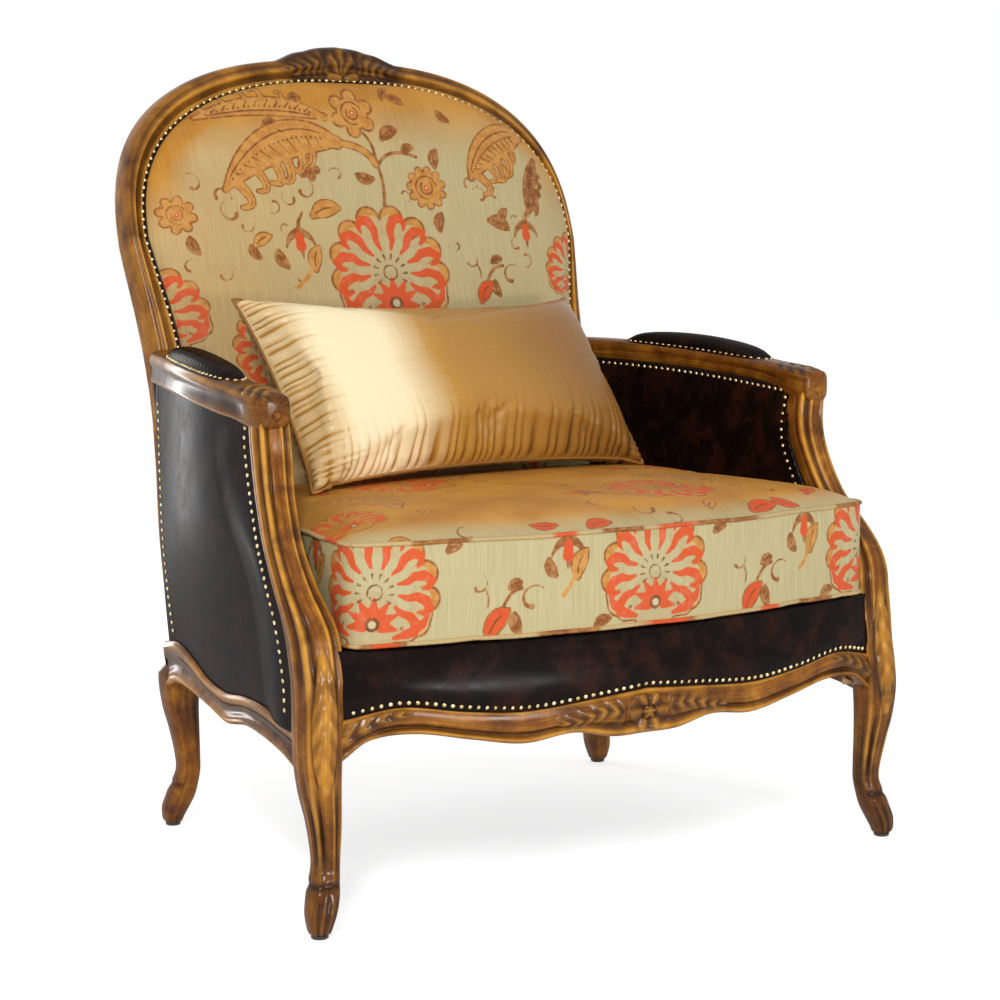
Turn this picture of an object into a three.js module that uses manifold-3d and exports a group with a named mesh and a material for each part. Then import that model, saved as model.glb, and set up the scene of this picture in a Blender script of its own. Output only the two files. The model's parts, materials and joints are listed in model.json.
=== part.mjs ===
// A wide bergere armchair with a loose seat cushion and a loose lumbar pillow.
// Millimetres, +Z up. The chair faces -Y, and left and right are the viewer's
// own, seen from the front. While the pieces are made, y is 0 on the line
// through the front feet; at the end the chair is centred on its own outline.
import * as THREE from 'three';
import Module from 'manifold-3d';
import { mergeVertices } from 'three/addons/utils/BufferGeometryUtils.js';

const wasm = await Module();
wasm.setup();

// Clearances and shared counts
const seatGap = 0.35; // between two pieces that seat on each other
const cutOverrun = 12; // how far a rough piece runs into what cuts it
const frontStations = 28;
const cushionPoints = 44;
const sides = [['left', -1], ['right', 1]];

// Feet and front posts
const frontFootHalf = 429; // centre of the chair to a front foot
const rearFootInset = 74; // how much nearer the middle the rear feet are
const rearFootHalf = frontFootHalf - rearFootInset;
const footSpan = 565; // front feet to rear feet
const glideHeight = 4;
const glideRadius = 10.5;
const glideRim = 1.2;
const legHeight = 300; // floor to the joint under an arm support
const legReach = 20; // how far the cabriole line wanders from the foot
const legBlock = 28.5; // half size of the thickest section
const postPower = 3; // roundness of the posts' sections
const supportHeight = 300; // arm support, from its joint to the arm
const supportSweep = 128; // how far the support leans back on the way up
const supportReach = 18;
const supportTop = legHeight + supportHeight;

// Seat rails
const railDrop = 48; // top of the rails below the joint
const railTop = legHeight - railDrop;
const railDeep = 42; // height of the show wood
const railWave = 20; // rise and fall of its shaped edges
const railThick = 28;
const railSwell = 3; // how far the rails' faces are rounded
const frontBow = 55; // the front rail bows forward
const frontRailSetback = 4; // rail face behind the line of the feet
const sideRailReach = 15.4; // side rail face outside the line of the feet
const rearRailDeep = 56;
const rearRailThick = 26;

// Back frame
const rake = THREE.MathUtils.degToRad(17.4);
const backDepth = 50; // front to back through the frame
const backFaceBehind = 45.7; // the frame's front face behind the rear feet
const backFaceRise = 100; // and the height over the supports where it is so
const backFaceY = footSpan + backFaceBehind;
const backFaceHeight = supportTop + backFaceRise;
const bendHeight = supportTop; // below this the posts bend upright
const footBendY = 61; // how far in front of the bend the posts are at the rail
const springRise = 204; // where the arch starts, over the supports
const springHeight = supportTop + springRise;
const archInset = 8; // inner edge of the arch inside the line of the rear feet
const archWide = 23; // width of the frame where the arch starts
const archInnerHalf = rearFootHalf - archInset;
const archOuterHalf = archInnerHalf + archWide;
const archInnerRise = 225;
const archCrownWide = 41; // and at its top
const archOuterRise = archInnerRise + archCrownWide;
const archPower = 2.46; // how full the arch's shoulders are
const archOuterPower = 2.62;
const backWaistInset = 33; // inner edge of the posts at the arms
const backWaistWide = 35; // width of the posts there
const backWaistHalf = rearFootHalf - backWaistInset;
const backWaistOuterHalf = backWaistHalf + backWaistWide;
const waistRise = 50; // where the posts are narrowest, over the supports
const waistHeight = supportTop + waistRise;
const seatWaistInset = 39; // inner edge of the posts at the seat
const seatWaistHalf = rearFootHalf - seatWaistInset;
const crestRise = 20; // carved crest above the plain arch
const crestHalf = 100;
const crestForward = 6;
const rearKneeShare = 0.72; // the rear leg follows the front one to here
const stileBlendShare = 0.12;
const crossRailRise = 78; // lower edge of the cross rail over the seat rails
const crossRailHeight = railTop + crossRailRise;
const crossRailDeep = 40;
const crossRailThick = 18;

// Arms
const armFrontY = 126; // tip of the knuckle
const armBackBehind = 27; // back end of the arms behind the rear feet
const armBackY = footSpan + armBackBehind;
const armFrontInset = 15; // centre line at the knuckle inside the front feet
const armBackInset = 10; // and at the back inside the rear feet
const armFrontHalf = frontFootHalf - armFrontInset;
const armBackHalf = rearFootHalf - armBackInset;
const armFlare = 16; // the line bows outward between its ends
const armHead = 27; // top of the wood at the knuckle, over the supports
const armTop = supportTop + armHead;
const armRise = 27; // and how much higher it is at the back
const armDeep = 31; // depth of its inner edge
const armApron = 18; // and how much deeper its outer edge is
const armHalfWide = 25;
const knuckleDraw = 2; // how much narrower the knuckle is
const padStartY = 232;
const padEndAhead = 62; // back end of the pads ahead of the rear feet
const padEndY = footSpan - padEndAhead;
const padHalfWide = 21;
const padCrown = 20;
const padEndShare = 0.4; // width and height of the pad at its two ends
const padPower = 2.3; // roundness of its section
const padEndPower = 0.35;
const armTaperPower = 1.15;
const armPower = 3.6; // roundness of the arm's section

// Upholstery
const deckRise = 82; // top of the spring deck over the rails
const deckTop = railTop + deckRise;
const deckThick = 26;
const innerArmThick = 19;
const innerArmCrown = 9;
const outerArmThick = 10;
const outerArmCrown = 9;
const innerBackThick = 20; // stuffing behind the frame's front face
const innerBackCrown = 44;
const innerBackRise = 11; // lower edge of the inner back over the deck
const innerBackBottom = deckTop + innerBackRise;
const lowCrownShare = 0.42; // how full the inner back is behind the cushion
const backTopShare = 0.996; // of the arch's height, where its panels end
const innerBackEdge = 6; // how proud of the frame its border is
const outerBackThick = 8;
const outerBackCrown = 6;
const borderThick = 24;
const borderInset = 2; // its face behind the rail's at the nails
const borderSwell = 11;
const borderFullShare = 0.3; // of its height, where it swells most
const borderEndPower = 8; // how near its ends it still swells
const stuffingPower = 0.6; // how soon stuffed leather rises from its edges
const backSidePower = 4; // how square the inner back's swelling is
const backTopPower = 8;

// Seat inside
const webbingWide = 50;
const webbingThick = 2.5;
const webbingDrop = 17; // webbing below the top of the rails
const webbingTop = railTop - webbingDrop;
const springWire = 2;
const springRadius = 38;
const springWaistShare = 0.62;
const springTurns = 3;
const springSteps = 24;
const springColumns = 3;
const springRows = 3;
const dustCoverThick = 1.5;
const cornerBlockSize = 56;
const cornerBlockDeep = 20;

// Loose seat cushion
const cushionFrontRoom = 41; // cushion's side inside the line of the feet
const cushionBackRoom = 9;
const cushionFrontHalf = frontFootHalf - cushionFrontRoom;
const cushionBackHalf = rearFootHalf - cushionBackRoom;
const cushionFrontY = 0;
const cushionBackAhead = 91; // its back ahead of the rear feet
const cushionBackY = footSpan - cushionBackAhead;
const cushionBow = 52;
const cushionThick = 121; // welt to welt
const cushionLift = 4; // bottom welt above the deck
const cushionCrown = 31;
const crownPower = 4; // a full cushion: nearly level, then falling to its welt
const cushionCorner = 24;
const cornerDipShare = 0.2; // of the corner, how far its front end is forward
const cushionDrawIn = 5;
const cushionBulge = 5;

// Loose lumbar pillow
const pillowRoom = 102; // how much narrower it is than the cushion's back edge
const pillowWide = 2 * cushionBackHalf - pillowRoom;
const pillowHigh = 296;
const pillowThick = 118;
const pillowEdge = 3;
const pillowDrawIn = 14;
const pillowPower = 0.62; // how soon it swells from its edges
const pillowX = -16;
const pillowAhead = 167; // its middle ahead of the rear feet
const pillowY = footSpan - pillowAhead;
const pillowYaw = THREE.MathUtils.degToRad(8);
const pillowLean = THREE.MathUtils.degToRad(36);

// The front leg, floor to joint: height, outward and backward shares of the
// leg's height and reach, and the section's share of the thickest block.
const frontLegShares = [
  [0.014, 0.1, -0.1, 0.4], [0.04, 0.1, -0.1, 0.49], [0.09, -0.05, 0.05, 0.615],
  [0.14, -0.28, 0.28, 0.65], [0.19, -0.46, 0.46, 0.63], [0.26, -0.7, 0.7, 0.55],
  [0.325, -0.7, 0.7, 0.56], [0.45, -0.53, 0.6, 0.67], [0.565, -0.3, 0.55, 0.81],
  [0.685, -0.21, 0.58, 0.91], [0.8, -0.3, 0.75, 0.95], [0.9, -0.42, 0.95, 0.965],
  [1, -0.5, 1.12, 0.98],
];

// The arm support above it: shares of its height, reach and sweep.
const supportShares = [
  [0, -0.55, 0.175, 0.98], [0.13, -0.53, 0.235, 1], [0.2, -0.4, 0.27, 0.98],
  [0.265, -0.22, 0.332, 0.91], [0.33, -0.11, 0.437, 0.84], [0.4, -0.17, 0.578, 0.79],
  [0.465, -0.33, 0.723, 0.76], [0.53, -0.53, 0.86, 0.745], [0.6, -0.69, 0.96, 0.74],
  [0.665, -0.8, 1.04, 0.74], [0.73, -0.91, 1.105, 0.75], [0.8, -1, 1.155, 0.77],
  [0.87, -1, 1.18, 0.78], [0.94, -0.92, 1.18, 0.77], [1, -0.8, 1.17, 0.74],
];

// Edges of the front rail, from its centre to an end, as shares of its wave.
const frontTopShares = [
  [0, 0.4], [0.18, 0.12], [0.43, -0.22], [0.62, 0.1], [0.83, 0.68], [1, 0.1],
];
const frontLowShares = [
  [0, -0.4], [0.12, -0.38], [0.26, 0.15], [0.43, -0.15], [0.6, 0.4], [0.78, 1.05],
  [0.92, 0.85], [1, -0.25],
];

// Edges of a side rail, from the front leg to the rear one.
const sideTopShares = [
  [0, -0.6], [0.13, -0.5], [0.25, -0.25], [0.38, -0.35], [0.52, -0.78], [0.66, -0.55],
  [0.79, 0.3], [0.9, 0.75], [1, 0.4],
];
const sideLowShares = [
  [0, -0.9], [0.1, -0.3], [0.25, 0.05], [0.36, 0.05], [0.5, -0.5], [0.64, -0.15],
  [0.8, 0.15], [0.92, 0], [1, -0.9],
];

// The crest's outline over the arch, from its centre to the scroll's end.
const crestShares = [
  [0, 1], [0.3, 0.88], [0.5, 0.66], [0.68, 0.52], [0.86, 0.2], [1, 0],
];

// Moulding of the back frame, round its section from the outer edge: inner
// edge 0 to outer edge 1, front 0 to back 1.
const mouldingShares = [
  [1, 0.72], [1, 0.9], [0.86, 1], [0.6, 1], [0.4, 1], [0.15, 1], [0, 0.85], [0, 0.6],
  [0, 0.35], [0, 0.12], [0.12, 0], [0.3, 0.04], [0.46, 0.17], [0.66, 0.1], [0.85, 0.22],
  [0.95, 0.5],
];

// The arm's knuckle: how full its section is at places along the arm, then
// the places of the plain sections behind it.
const knuckleShares = [
  [0, 0.35], [0.008, 0.7], [0.022, 0.92], [0.045, 1], [0.08, 1.02], [0.12, 1], [0.18, 0.97],
  [0.26, 1],
];
const armStationShares = [0.36, 0.48, 0.6, 0.72, 0.84, 0.93, 1];

// Rings of the seat cushion: under it from the middle out, up its side, and
// over its top to the middle again.
const cushionUnderShares = [0.12, 0.45, 0.75, 0.9];
const cushionSideShares = [0, 0.2, 0.5, 0.8, 1];
const cushionTopShares = [0.97, 0.92, 0.84, 0.7, 0.45, 0.15];

// Upright line of the back posts below the bend: height and backward shares.
const postBendShares = [
  [0, 0], [0.25, 0.37], [0.46, 0.62], [0.68, 0.73], [0.88, 0.87], [1, 1],
];

// Shared geometry

// The smooth value at a place in a table of [place, value] rows.
function smoothAt(rows, place) {
  const last = rows.length - 1;
  let row = 0;
  while (row < last - 1 && place > rows[row + 1][0]) row += 1;
  const slope = (a, b) => (rows[b][1] - rows[a][1]) / (rows[b][0] - rows[a][0]);
  const [startPlace, start] = rows[row];
  const [endPlace, end] = rows[row + 1];
  const span = endPlace - startPlace;
  const t = THREE.MathUtils.clamp((place - startPlace) / span, 0, 1);
  const leave = slope(Math.max(row - 1, 0), row + 1) * span;
  const arrive = slope(row, Math.min(row + 2, last)) * span;
  const t2 = t * t;
  const t3 = t2 * t;
  return start * (2 * t3 - 3 * t2 + 1) + leave * (t3 - 2 * t2 + t)
    + end * (3 * t2 - 2 * t3) + arrive * (t3 - t2);
}

// A stuffed surface's rise between two edges, fuller the lower the power.
function arched(share, power) {
  return Math.max(Math.sin(Math.PI * share), 0) ** power;
}

// Shares from 0 to 1 in equal steps.
function steps(count) {
  return Array.from({ length: count + 1 }, (_, i) => i / count);
}

// A closed body from points and triangles, its faces turned outward.
function bodyOf(points, faces) {
  let volume = 0;
  for (const [a, b, c] of faces) {
    volume += points[a].dot(points[b].clone().cross(points[c]));
  }
  const index = faces.flatMap(([a, b, c]) => (volume < 0 ? [a, c, b] : [a, b, c]));
  const position = points.flatMap((point) => point.toArray());
  const geometry = new THREE.BufferGeometry();
  geometry.setAttribute('position', new THREE.Float32BufferAttribute(position, 3));
  geometry.setIndex(index);
  return geometry;
}

// Rings of equal count joined in order, with a fan on the first and the last.
function loft(rings) {
  const count = rings[0].length;
  const points = rings.flat();
  const faces = [];
  for (let ring = 0; ring < rings.length - 1; ring += 1) {
    for (let i = 0; i < count; i += 1) {
      const a = ring * count + i;
      const b = ring * count + ((i + 1) % count);
      faces.push([a, b, a + count], [b, b + count, a + count]);
    }
  }
  const close = (ring, turned) => {
    const centre = new THREE.Vector3();
    rings[ring].forEach((point) => centre.addScaledVector(point, 1 / count));
    points.push(centre);
    const hub = points.length - 1;
    for (let i = 0; i < count; i += 1) {
      const a = ring * count + i;
      const b = ring * count + ((i + 1) % count);
      faces.push(turned ? [hub, b, a] : [hub, a, b]);
    }
  };
  close(0, true);
  close(rings.length - 1, false);
  return bodyOf(points, faces);
}

// Two grids of points, the two faces of a panel, joined round their border.
function panel(front, back) {
  const rows = front.length;
  const columns = front[0].length;
  const points = [...front.flat(), ...back.flat()];
  const half = rows * columns;
  const at = (row, column) => row * columns + column;
  const faces = [];
  const quad = (a, b, c, d) => faces.push([a, b, c], [a, c, d]);
  for (let r = 0; r < rows - 1; r += 1) {
    for (let c = 0; c < columns - 1; c += 1) {
      quad(at(r, c), at(r, c + 1), at(r + 1, c + 1), at(r + 1, c));
      quad(half + at(r, c), half + at(r + 1, c), half + at(r + 1, c + 1), half + at(r, c + 1));
    }
  }
  const border = [];
  for (let c = 0; c < columns - 1; c += 1) border.push(at(0, c));
  for (let r = 0; r < rows - 1; r += 1) border.push(at(r, columns - 1));
  for (let c = columns - 1; c > 0; c -= 1) border.push(at(rows - 1, c));
  for (let r = rows - 1; r > 0; r -= 1) border.push(at(r, 0));
  border.forEach((a, i) => {
    const b = border[(i + 1) % border.length];
    quad(b, a, half + a, half + b);
  });
  return bodyOf(points, faces);
}

// Unit points of a rounded square, |u|^power + |v|^power = 1.
function roundedSquare(count, power) {
  return Array.from({ length: count }, (_, i) => {
    const angle = (i + 0.5) * 2 * Math.PI / count;
    const reach = (Math.abs(Math.cos(angle)) ** power + Math.abs(Math.sin(angle)) ** power)
      ** (-1 / power);
    return [Math.cos(angle) * reach, Math.sin(angle) * reach];
  });
}

// One ring: a unit section set at a centre along two directions.
function ringAt(section, centre, across, deep) {
  return section.map(([u, v]) => centre.clone().addScaledVector(across, u)
    .addScaledVector(deep, v));
}

// Solids for joining and cutting
function solidOf(geometry) {
  const bare = geometry.clone();
  bare.deleteAttribute('normal');
  bare.deleteAttribute('uv');
  const merged = mergeVertices(bare);
  return new wasm.Manifold(new wasm.Mesh({
    numProp: 3,
    vertProperties: Float32Array.from(merged.attributes.position.array),
    triVerts: Uint32Array.from(merged.index.array),
  }));
}

function geometryOf(solid) {
  const mesh = solid.getMesh();
  const geometry = new THREE.BufferGeometry();
  const position = Float32Array.from(mesh.vertProperties);
  geometry.setAttribute('position', new THREE.BufferAttribute(position, 3));
  geometry.setIndex(Array.from(mesh.triVerts));
  return geometry;
}

// A rough piece cut by its neighbours; offcuts are dropped.
function cutBy(geometry, ...neighbours) {
  let solid = solidOf(geometry);
  neighbours.forEach((neighbour) => {
    solid = solid.subtract(solidOf(neighbour));
  });
  const pieces = solid.decompose().sort((a, b) => b.volume() - a.volume());
  return geometryOf(pieces[0]);
}

function joined(...geometries) {
  let solid = solidOf(geometries[0]);
  geometries.slice(1).forEach((geometry) => {
    solid = solid.add(solidOf(geometry));
  });
  return geometryOf(solid);
}

// Materials
function finish(color, roughness, metalness = 0) {
  return () => new THREE.MeshStandardMaterial({ color, roughness, metalness });
}
const walnut = finish(0x8a5524, 0.38);
const beech = finish(0xb99467, 0.7);
const leather = finish(0x2a1a14, 0.35);
const brocade = finish(0xb3a77a, 0.6);
const silk = finish(0xc49a4e, 0.4);
const springSteel = finish(0x8c8f93, 0.4, 0.9);
const jute = finish(0xb59d6d, 0.9);
const cambric = finish(0x1c1c1c, 0.95);
const nylon = finish(0x3a342e, 0.5);

const chair = new THREE.Group();
function add(name, geometry, material) {
  const mesh = new THREE.Mesh(geometry, material());
  mesh.name = name;
  chair.add(mesh);
  return mesh;
}

const postSection = roundedSquare(16, postPower);

// Front leg: a cabriole line from the scrolled foot through the knee. A grown
// one fills its joint too, so that what it cuts leaves nothing in there.
function frontLeg(side, grow = 0) {
  return loft(frontLegShares.map(([height, out, back, size]) => {
    const half = size * legBlock + grow;
    const x = side * (frontFootHalf + out * legReach);
    const z = Math.max(height * legHeight, glideHeight + seatGap);
    const fill = height === 1 ? 2 * grow : 0;
    const centre = new THREE.Vector3(x, back * legReach, z + fill);
    return ringAt(postSection, centre, new THREE.Vector3(half, 0, 0),
      new THREE.Vector3(0, half, 0));
  }));
}

// Where the arm support's centre line is at a share of its height.
function supportLine(share) {
  const column = (i) => supportShares.map((row) => [row[0], row[i]]);
  return {
    x: frontFootHalf + smoothAt(column(1), share) * supportReach,
    y: smoothAt(column(2), share) * supportSweep,
    half: smoothAt(column(3), share) * legBlock,
  };
}

// Arm support: sweeps back from the leg and turns up under the knuckle.
function armSupport(side, grow = 0) {
  return loft(supportShares.map(([share]) => {
    const line = supportLine(share);
    const half = line.half + grow;
    const z = legHeight + seatGap + share * supportHeight;
    return ringAt(postSection, new THREE.Vector3(side * line.x, line.y, z),
      new THREE.Vector3(half, 0, 0), new THREE.Vector3(0, half, 0));
  }));
}

// Arm rail: centre line and section from the knuckle to the back post.
function armLine(share) {
  const bow = armFlare * Math.sin(Math.PI * share);
  return {
    x: THREE.MathUtils.lerp(armFrontHalf, armBackHalf, share ** armTaperPower) + bow,
    y: THREE.MathUtils.lerp(armFrontY, armBackY, share),
    z: armTop - armDeep / 2 + armRise * Math.sin(Math.PI * 0.5 * share),
  };
}

const armSection = roundedSquare(14, armPower);
function armRail(side, grow = 0) {
  const [knuckleEnd] = knuckleShares[knuckleShares.length - 1];
  return loft([...knuckleShares.map(([share]) => share), ...armStationShares].map((share) => {
    const line = armLine(share);
    const inKnuckle = 1 - THREE.MathUtils.smoothstep(share, 0, knuckleEnd);
    const swell = share < knuckleEnd ? smoothAt(knuckleShares, share) : 1;
    const wide = (armHalfWide - knuckleDraw * inKnuckle) * swell + grow;
    const deep = armDeep / 2 * swell + grow;
    return armSection.map(([u, v]) => {
      const apron = THREE.MathUtils.lerp((1 + u) / 2, 1, inKnuckle) * (1 - v) / 2;
      return new THREE.Vector3(side * (line.x + wide * u), line.y,
        line.z + deep * v - armApron * swell * apron);
    });
  }));
}

// The share along an arm at a y, from the knuckle to the back.
function armShareAt(y) {
  return THREE.MathUtils.clamp((y - armFrontY) / (armBackY - armFrontY), 0, 1);
}

// Arm pad: a crowned leather pad let onto the top of the arm.
function armPad(side) {
  const dome = roundedSquare(12, padPower);
  const rings = steps(12).map((share) => {
    const line = armLine(armShareAt(THREE.MathUtils.lerp(padStartY, padEndY, share)));
    const fade = THREE.MathUtils.lerp(padEndShare, 1, arched(share, padEndPower));
    return ringAt(dome, new THREE.Vector3(side * line.x, line.y, line.z + armDeep / 2),
      new THREE.Vector3(padHalfWide * fade, 0, 0), new THREE.Vector3(0, 0, padCrown * fade));
  });
  return cutBy(loft(rings), armRail(side, seatGap));
}

// The y of the back frame's front face at a height.
function backFace(z) {
  if (z >= bendHeight) return backFaceY + Math.tan(rake) * (z - backFaceHeight);
  const bendY = backFaceY + Math.tan(rake) * (bendHeight - backFaceHeight);
  const share = (z - railTop) / (bendHeight - railTop);
  return bendY - footBendY * (1 - smoothAt(postBendShares, Math.max(share, 0)));
}

// The direction straight back through the frame at a height.
function backNormal(z) {
  const rise = backDepth / 2;
  const slope = (backFace(z + rise) - backFace(z - rise)) / (2 * rise);
  return new THREE.Vector3(0, 1, -slope).normalize();
}

// Half widths of the back frame at a height under the arch.
function backInner(z) {
  return smoothAt([[railTop, seatWaistHalf], [waistHeight, backWaistHalf],
    [springHeight, archInnerHalf]], z);
}

function backOuter(z) {
  return smoothAt([[railTop, backWaistOuterHalf], [waistHeight, backWaistOuterHalf],
    [springHeight, archOuterHalf]], z);
}

// Back post: rear cabriole leg and moulded stile in one piece of wood.
function backPost(side, grow = 0) {
  const legRows = frontLegShares.filter((row) => row[0] < rearKneeShare);
  const rings = legRows.map(([height, out, back, size]) => {
    const half = size * legBlock + grow;
    const x = side * (rearFootHalf + out * legReach);
    const z = Math.max(height * legHeight, glideHeight + seatGap);
    return ringAt(postSection, new THREE.Vector3(x, footSpan - back * legReach, z),
      new THREE.Vector3(side * half, 0, 0), new THREE.Vector3(0, half, 0));
  });
  const stileBottom = railTop + railWave;
  steps(14).forEach((share) => {
    const z = THREE.MathUtils.lerp(stileBottom, springHeight - seatGap, share);
    const inner = backInner(z);
    const outer = backOuter(z);
    const blend = THREE.MathUtils.smoothstep(share, 0, stileBlendShare);
    const halfWide = (outer - inner) / 2 + grow;
    const deep = new THREE.Vector3(0, 1, 0).lerp(backNormal(z), blend).normalize();
    const centre = new THREE.Vector3(side * (outer + inner) / 2, backFace(z), z)
      .addScaledVector(deep, backDepth / 2);
    const section = postSection.map(([u, v], i) => [
      THREE.MathUtils.lerp(u, mouldingShares[i][0] * 2 - 1, blend),
      THREE.MathUtils.lerp(v, mouldingShares[i][1] * 2 - 1, blend),
    ]);
    rings.push(ringAt(section, centre, new THREE.Vector3(side * halfWide, 0, 0),
      deep.multiplyScalar(backDepth / 2 + grow)));
  });
  return loft(rings);
}

// Points of the arch at an angle, on the frame's front face.
function archPoint(half, rise, power, angle, lift) {
  const cos = Math.cos(angle);
  const x = half * Math.sign(cos) * Math.abs(cos) ** (2 / power);
  const z = springHeight + rise * Math.abs(Math.sin(angle)) ** (2 / power) + lift;
  return new THREE.Vector3(x, backFace(z), z);
}

function innerArch(angle) {
  return archPoint(archInnerHalf, archInnerRise, archPower, angle, 0);
}

function outerArch(angle, lift = 0) {
  return archPoint(archOuterHalf, archOuterRise, archOuterPower, angle, lift);
}

// Crest rail: the moulded arch, raised and thickened at its carved crest.
function crestRail(grow = 0) {
  const normal = new THREE.Vector3(0, Math.cos(rake), -Math.sin(rake));
  const rings = steps(34).map((share) => {
    const angle = Math.PI * (1 - share);
    const inner = innerArch(angle);
    const place = Math.abs(outerArch(angle).x) / crestHalf;
    const crest = place < 1 ? smoothAt(crestShares, place) : 0;
    const outer = outerArch(angle, crest * crestRise);
    const across = outer.clone().sub(inner).normalize();
    const forward = crest * crestForward;
    return mouldingShares.map(([u, v]) => inner.clone().lerp(outer, u)
      .addScaledVector(across, (2 * u - 1) * grow)
      .addScaledVector(normal, v * backDepth + (2 * v - 1) * grow
        - (v < 0.5 ? forward * u : 0)));
  });
  return loft(rings);
}

// Front rail: bowed in plan, its edges cut to a serpentine line.
function frontRailY(x) {
  return frontRailSetback - frontBow * (1 - (x / frontFootHalf) ** 2);
}

function frontRailEdge(shares, level, x) {
  return level + railWave * smoothAt(shares, Math.abs(x) / (frontFootHalf - legBlock));
}

// A rail's section: depth and height shares, with a slightly rounded face.
const railSectionShares = [[0, 0], [0, 0.5], [0, 1], [1, 1], [1, 0.5], [1, 0]];

function railPoint(deep, up, low, high, grow) {
  const swell = deep === 0 && up === 0.5 ? railSwell : 0;
  return {
    depth: deep * railThick - swell + (2 * deep - 1) * grow,
    z: THREE.MathUtils.lerp(low - grow, high + grow, up),
  };
}

function frontRail(grow = 0) {
  const end = frontFootHalf - cutOverrun;
  return loft(steps(frontStations).map((share) => {
    const x = THREE.MathUtils.lerp(-end, end, share);
    const low = frontRailEdge(frontLowShares, railTop - railDeep, x);
    const high = frontRailEdge(frontTopShares, railTop, x);
    return railSectionShares.map(([deep, up]) => {
      const point = railPoint(deep, up, low, high, grow);
      return new THREE.Vector3(x, frontRailY(x) + point.depth, point.z);
    });
  }));
}

// Side rail: straight in plan, shaped like the front one.
function sideLine(share) {
  return {
    x: THREE.MathUtils.lerp(frontFootHalf, rearFootHalf, share) + sideRailReach,
    y: THREE.MathUtils.lerp(legReach, footSpan - legReach / 2, share),
  };
}

function sideRailTop(share) {
  return railTop + railWave * smoothAt(sideTopShares, share);
}

function sideRail(side, grow = 0) {
  return loft(steps(22).map((share) => {
    const line = sideLine(share);
    const low = railTop - railDeep + railWave * smoothAt(sideLowShares, share);
    return railSectionShares.map(([deep, up]) => {
      const point = railPoint(deep, up, low, sideRailTop(share), grow);
      return new THREE.Vector3(side * (line.x - point.depth), line.y, point.z);
    });
  }));
}

// Plain rail between the back posts.
function backRail(low, deep, thick, grow = 0) {
  const rail = new THREE.BoxGeometry(2 * (backWaistOuterHalf - cutOverrun),
    thick + 2 * grow, deep + 2 * grow);
  rail.translate(0, backFace(low + deep / 2) + backDepth / 2, low + deep / 2);
  return rail;
}

function rearRail(grow = 0) {
  return backRail(railTop - rearRailDeep, rearRailDeep, rearRailThick, grow);
}

// Inner surface of an arm at a share from the knuckle to the back.
function innerArmX(y) {
  return armLine(armShareAt(y)).x - armHalfWide;
}

// Leather inner arm: a thin stuffed wall between support, arm and back.
const armRows = steps(6);
const armColumns = steps(8);

function innerArm(side) {
  const low = deckTop - deckThick;
  const surface = (depth, crown) => armRows.map((up) => armColumns.map((along) => {
    const z = THREE.MathUtils.lerp(low, armTop, up);
    const lean = supportLine(THREE.MathUtils.clamp((z - legHeight) / supportHeight, 0, 1));
    const y = THREE.MathUtils.lerp(lean.y, backFace(z) - innerBackCrown / 2, along);
    const swell = crown * arched(along, stuffingPower) * arched(up, stuffingPower);
    return new THREE.Vector3(side * (innerArmX(y) + depth - swell), y, z);
  }));
  const rough = panel(surface(seatGap, innerArmCrown), surface(innerArmThick, 0));
  return cutBy(rough, armSupport(side, seatGap), armRail(side, seatGap),
    backPost(side, seatGap), frontLeg(side, seatGap));
}

// Leather outer arm: from the side rail up to the arm, slightly crowned.
function outerArm(side) {
  const surface = (depth) => armRows.map((up) => armColumns.map((along) => {
    const level = THREE.MathUtils.lerp(railTop, armTop - armDeep / 2, up);
    const rise = THREE.MathUtils.clamp((level - legHeight) / supportHeight, 0, 1);
    const y = THREE.MathUtils.lerp(supportLine(rise).y, backFace(level) + backDepth / 2,
      along);
    const railShare = (y - sideLine(0).y) / (sideLine(1).y - sideLine(0).y);
    const bottom = sideRailTop(railShare) + seatGap;
    const z = THREE.MathUtils.lerp(bottom, armTop - armDeep / 2, up);
    const top = armLine(armShareAt(y)).x + armHalfWide - railSwell;
    const low = sideLine(railShare).x - railSwell;
    const swell = outerArmCrown * arched(along, stuffingPower) * arched(up, stuffingPower);
    const x = THREE.MathUtils.lerp(low, top, up) - depth + swell;
    return new THREE.Vector3(side * x, y, z);
  }));
  return cutBy(panel(surface(0), surface(outerArmThick)), armSupport(side, seatGap),
    armRail(side, seatGap), backPost(side, seatGap), frontLeg(side, seatGap),
    sideRail(side, seatGap));
}

// Half width inside the arch and posts at a height.
function openingHalf(z) {
  if (z <= springHeight) return backInner(z);
  const share = Math.min((z - springHeight) / archInnerRise, 1);
  return archInnerHalf * (1 - share ** archPower) ** (1 / archPower);
}

// Equal steps drawn closer together under the arch.
function towardTop(share) {
  return Math.sin(share * Math.PI / 2) ** 0.9;
}

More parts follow.
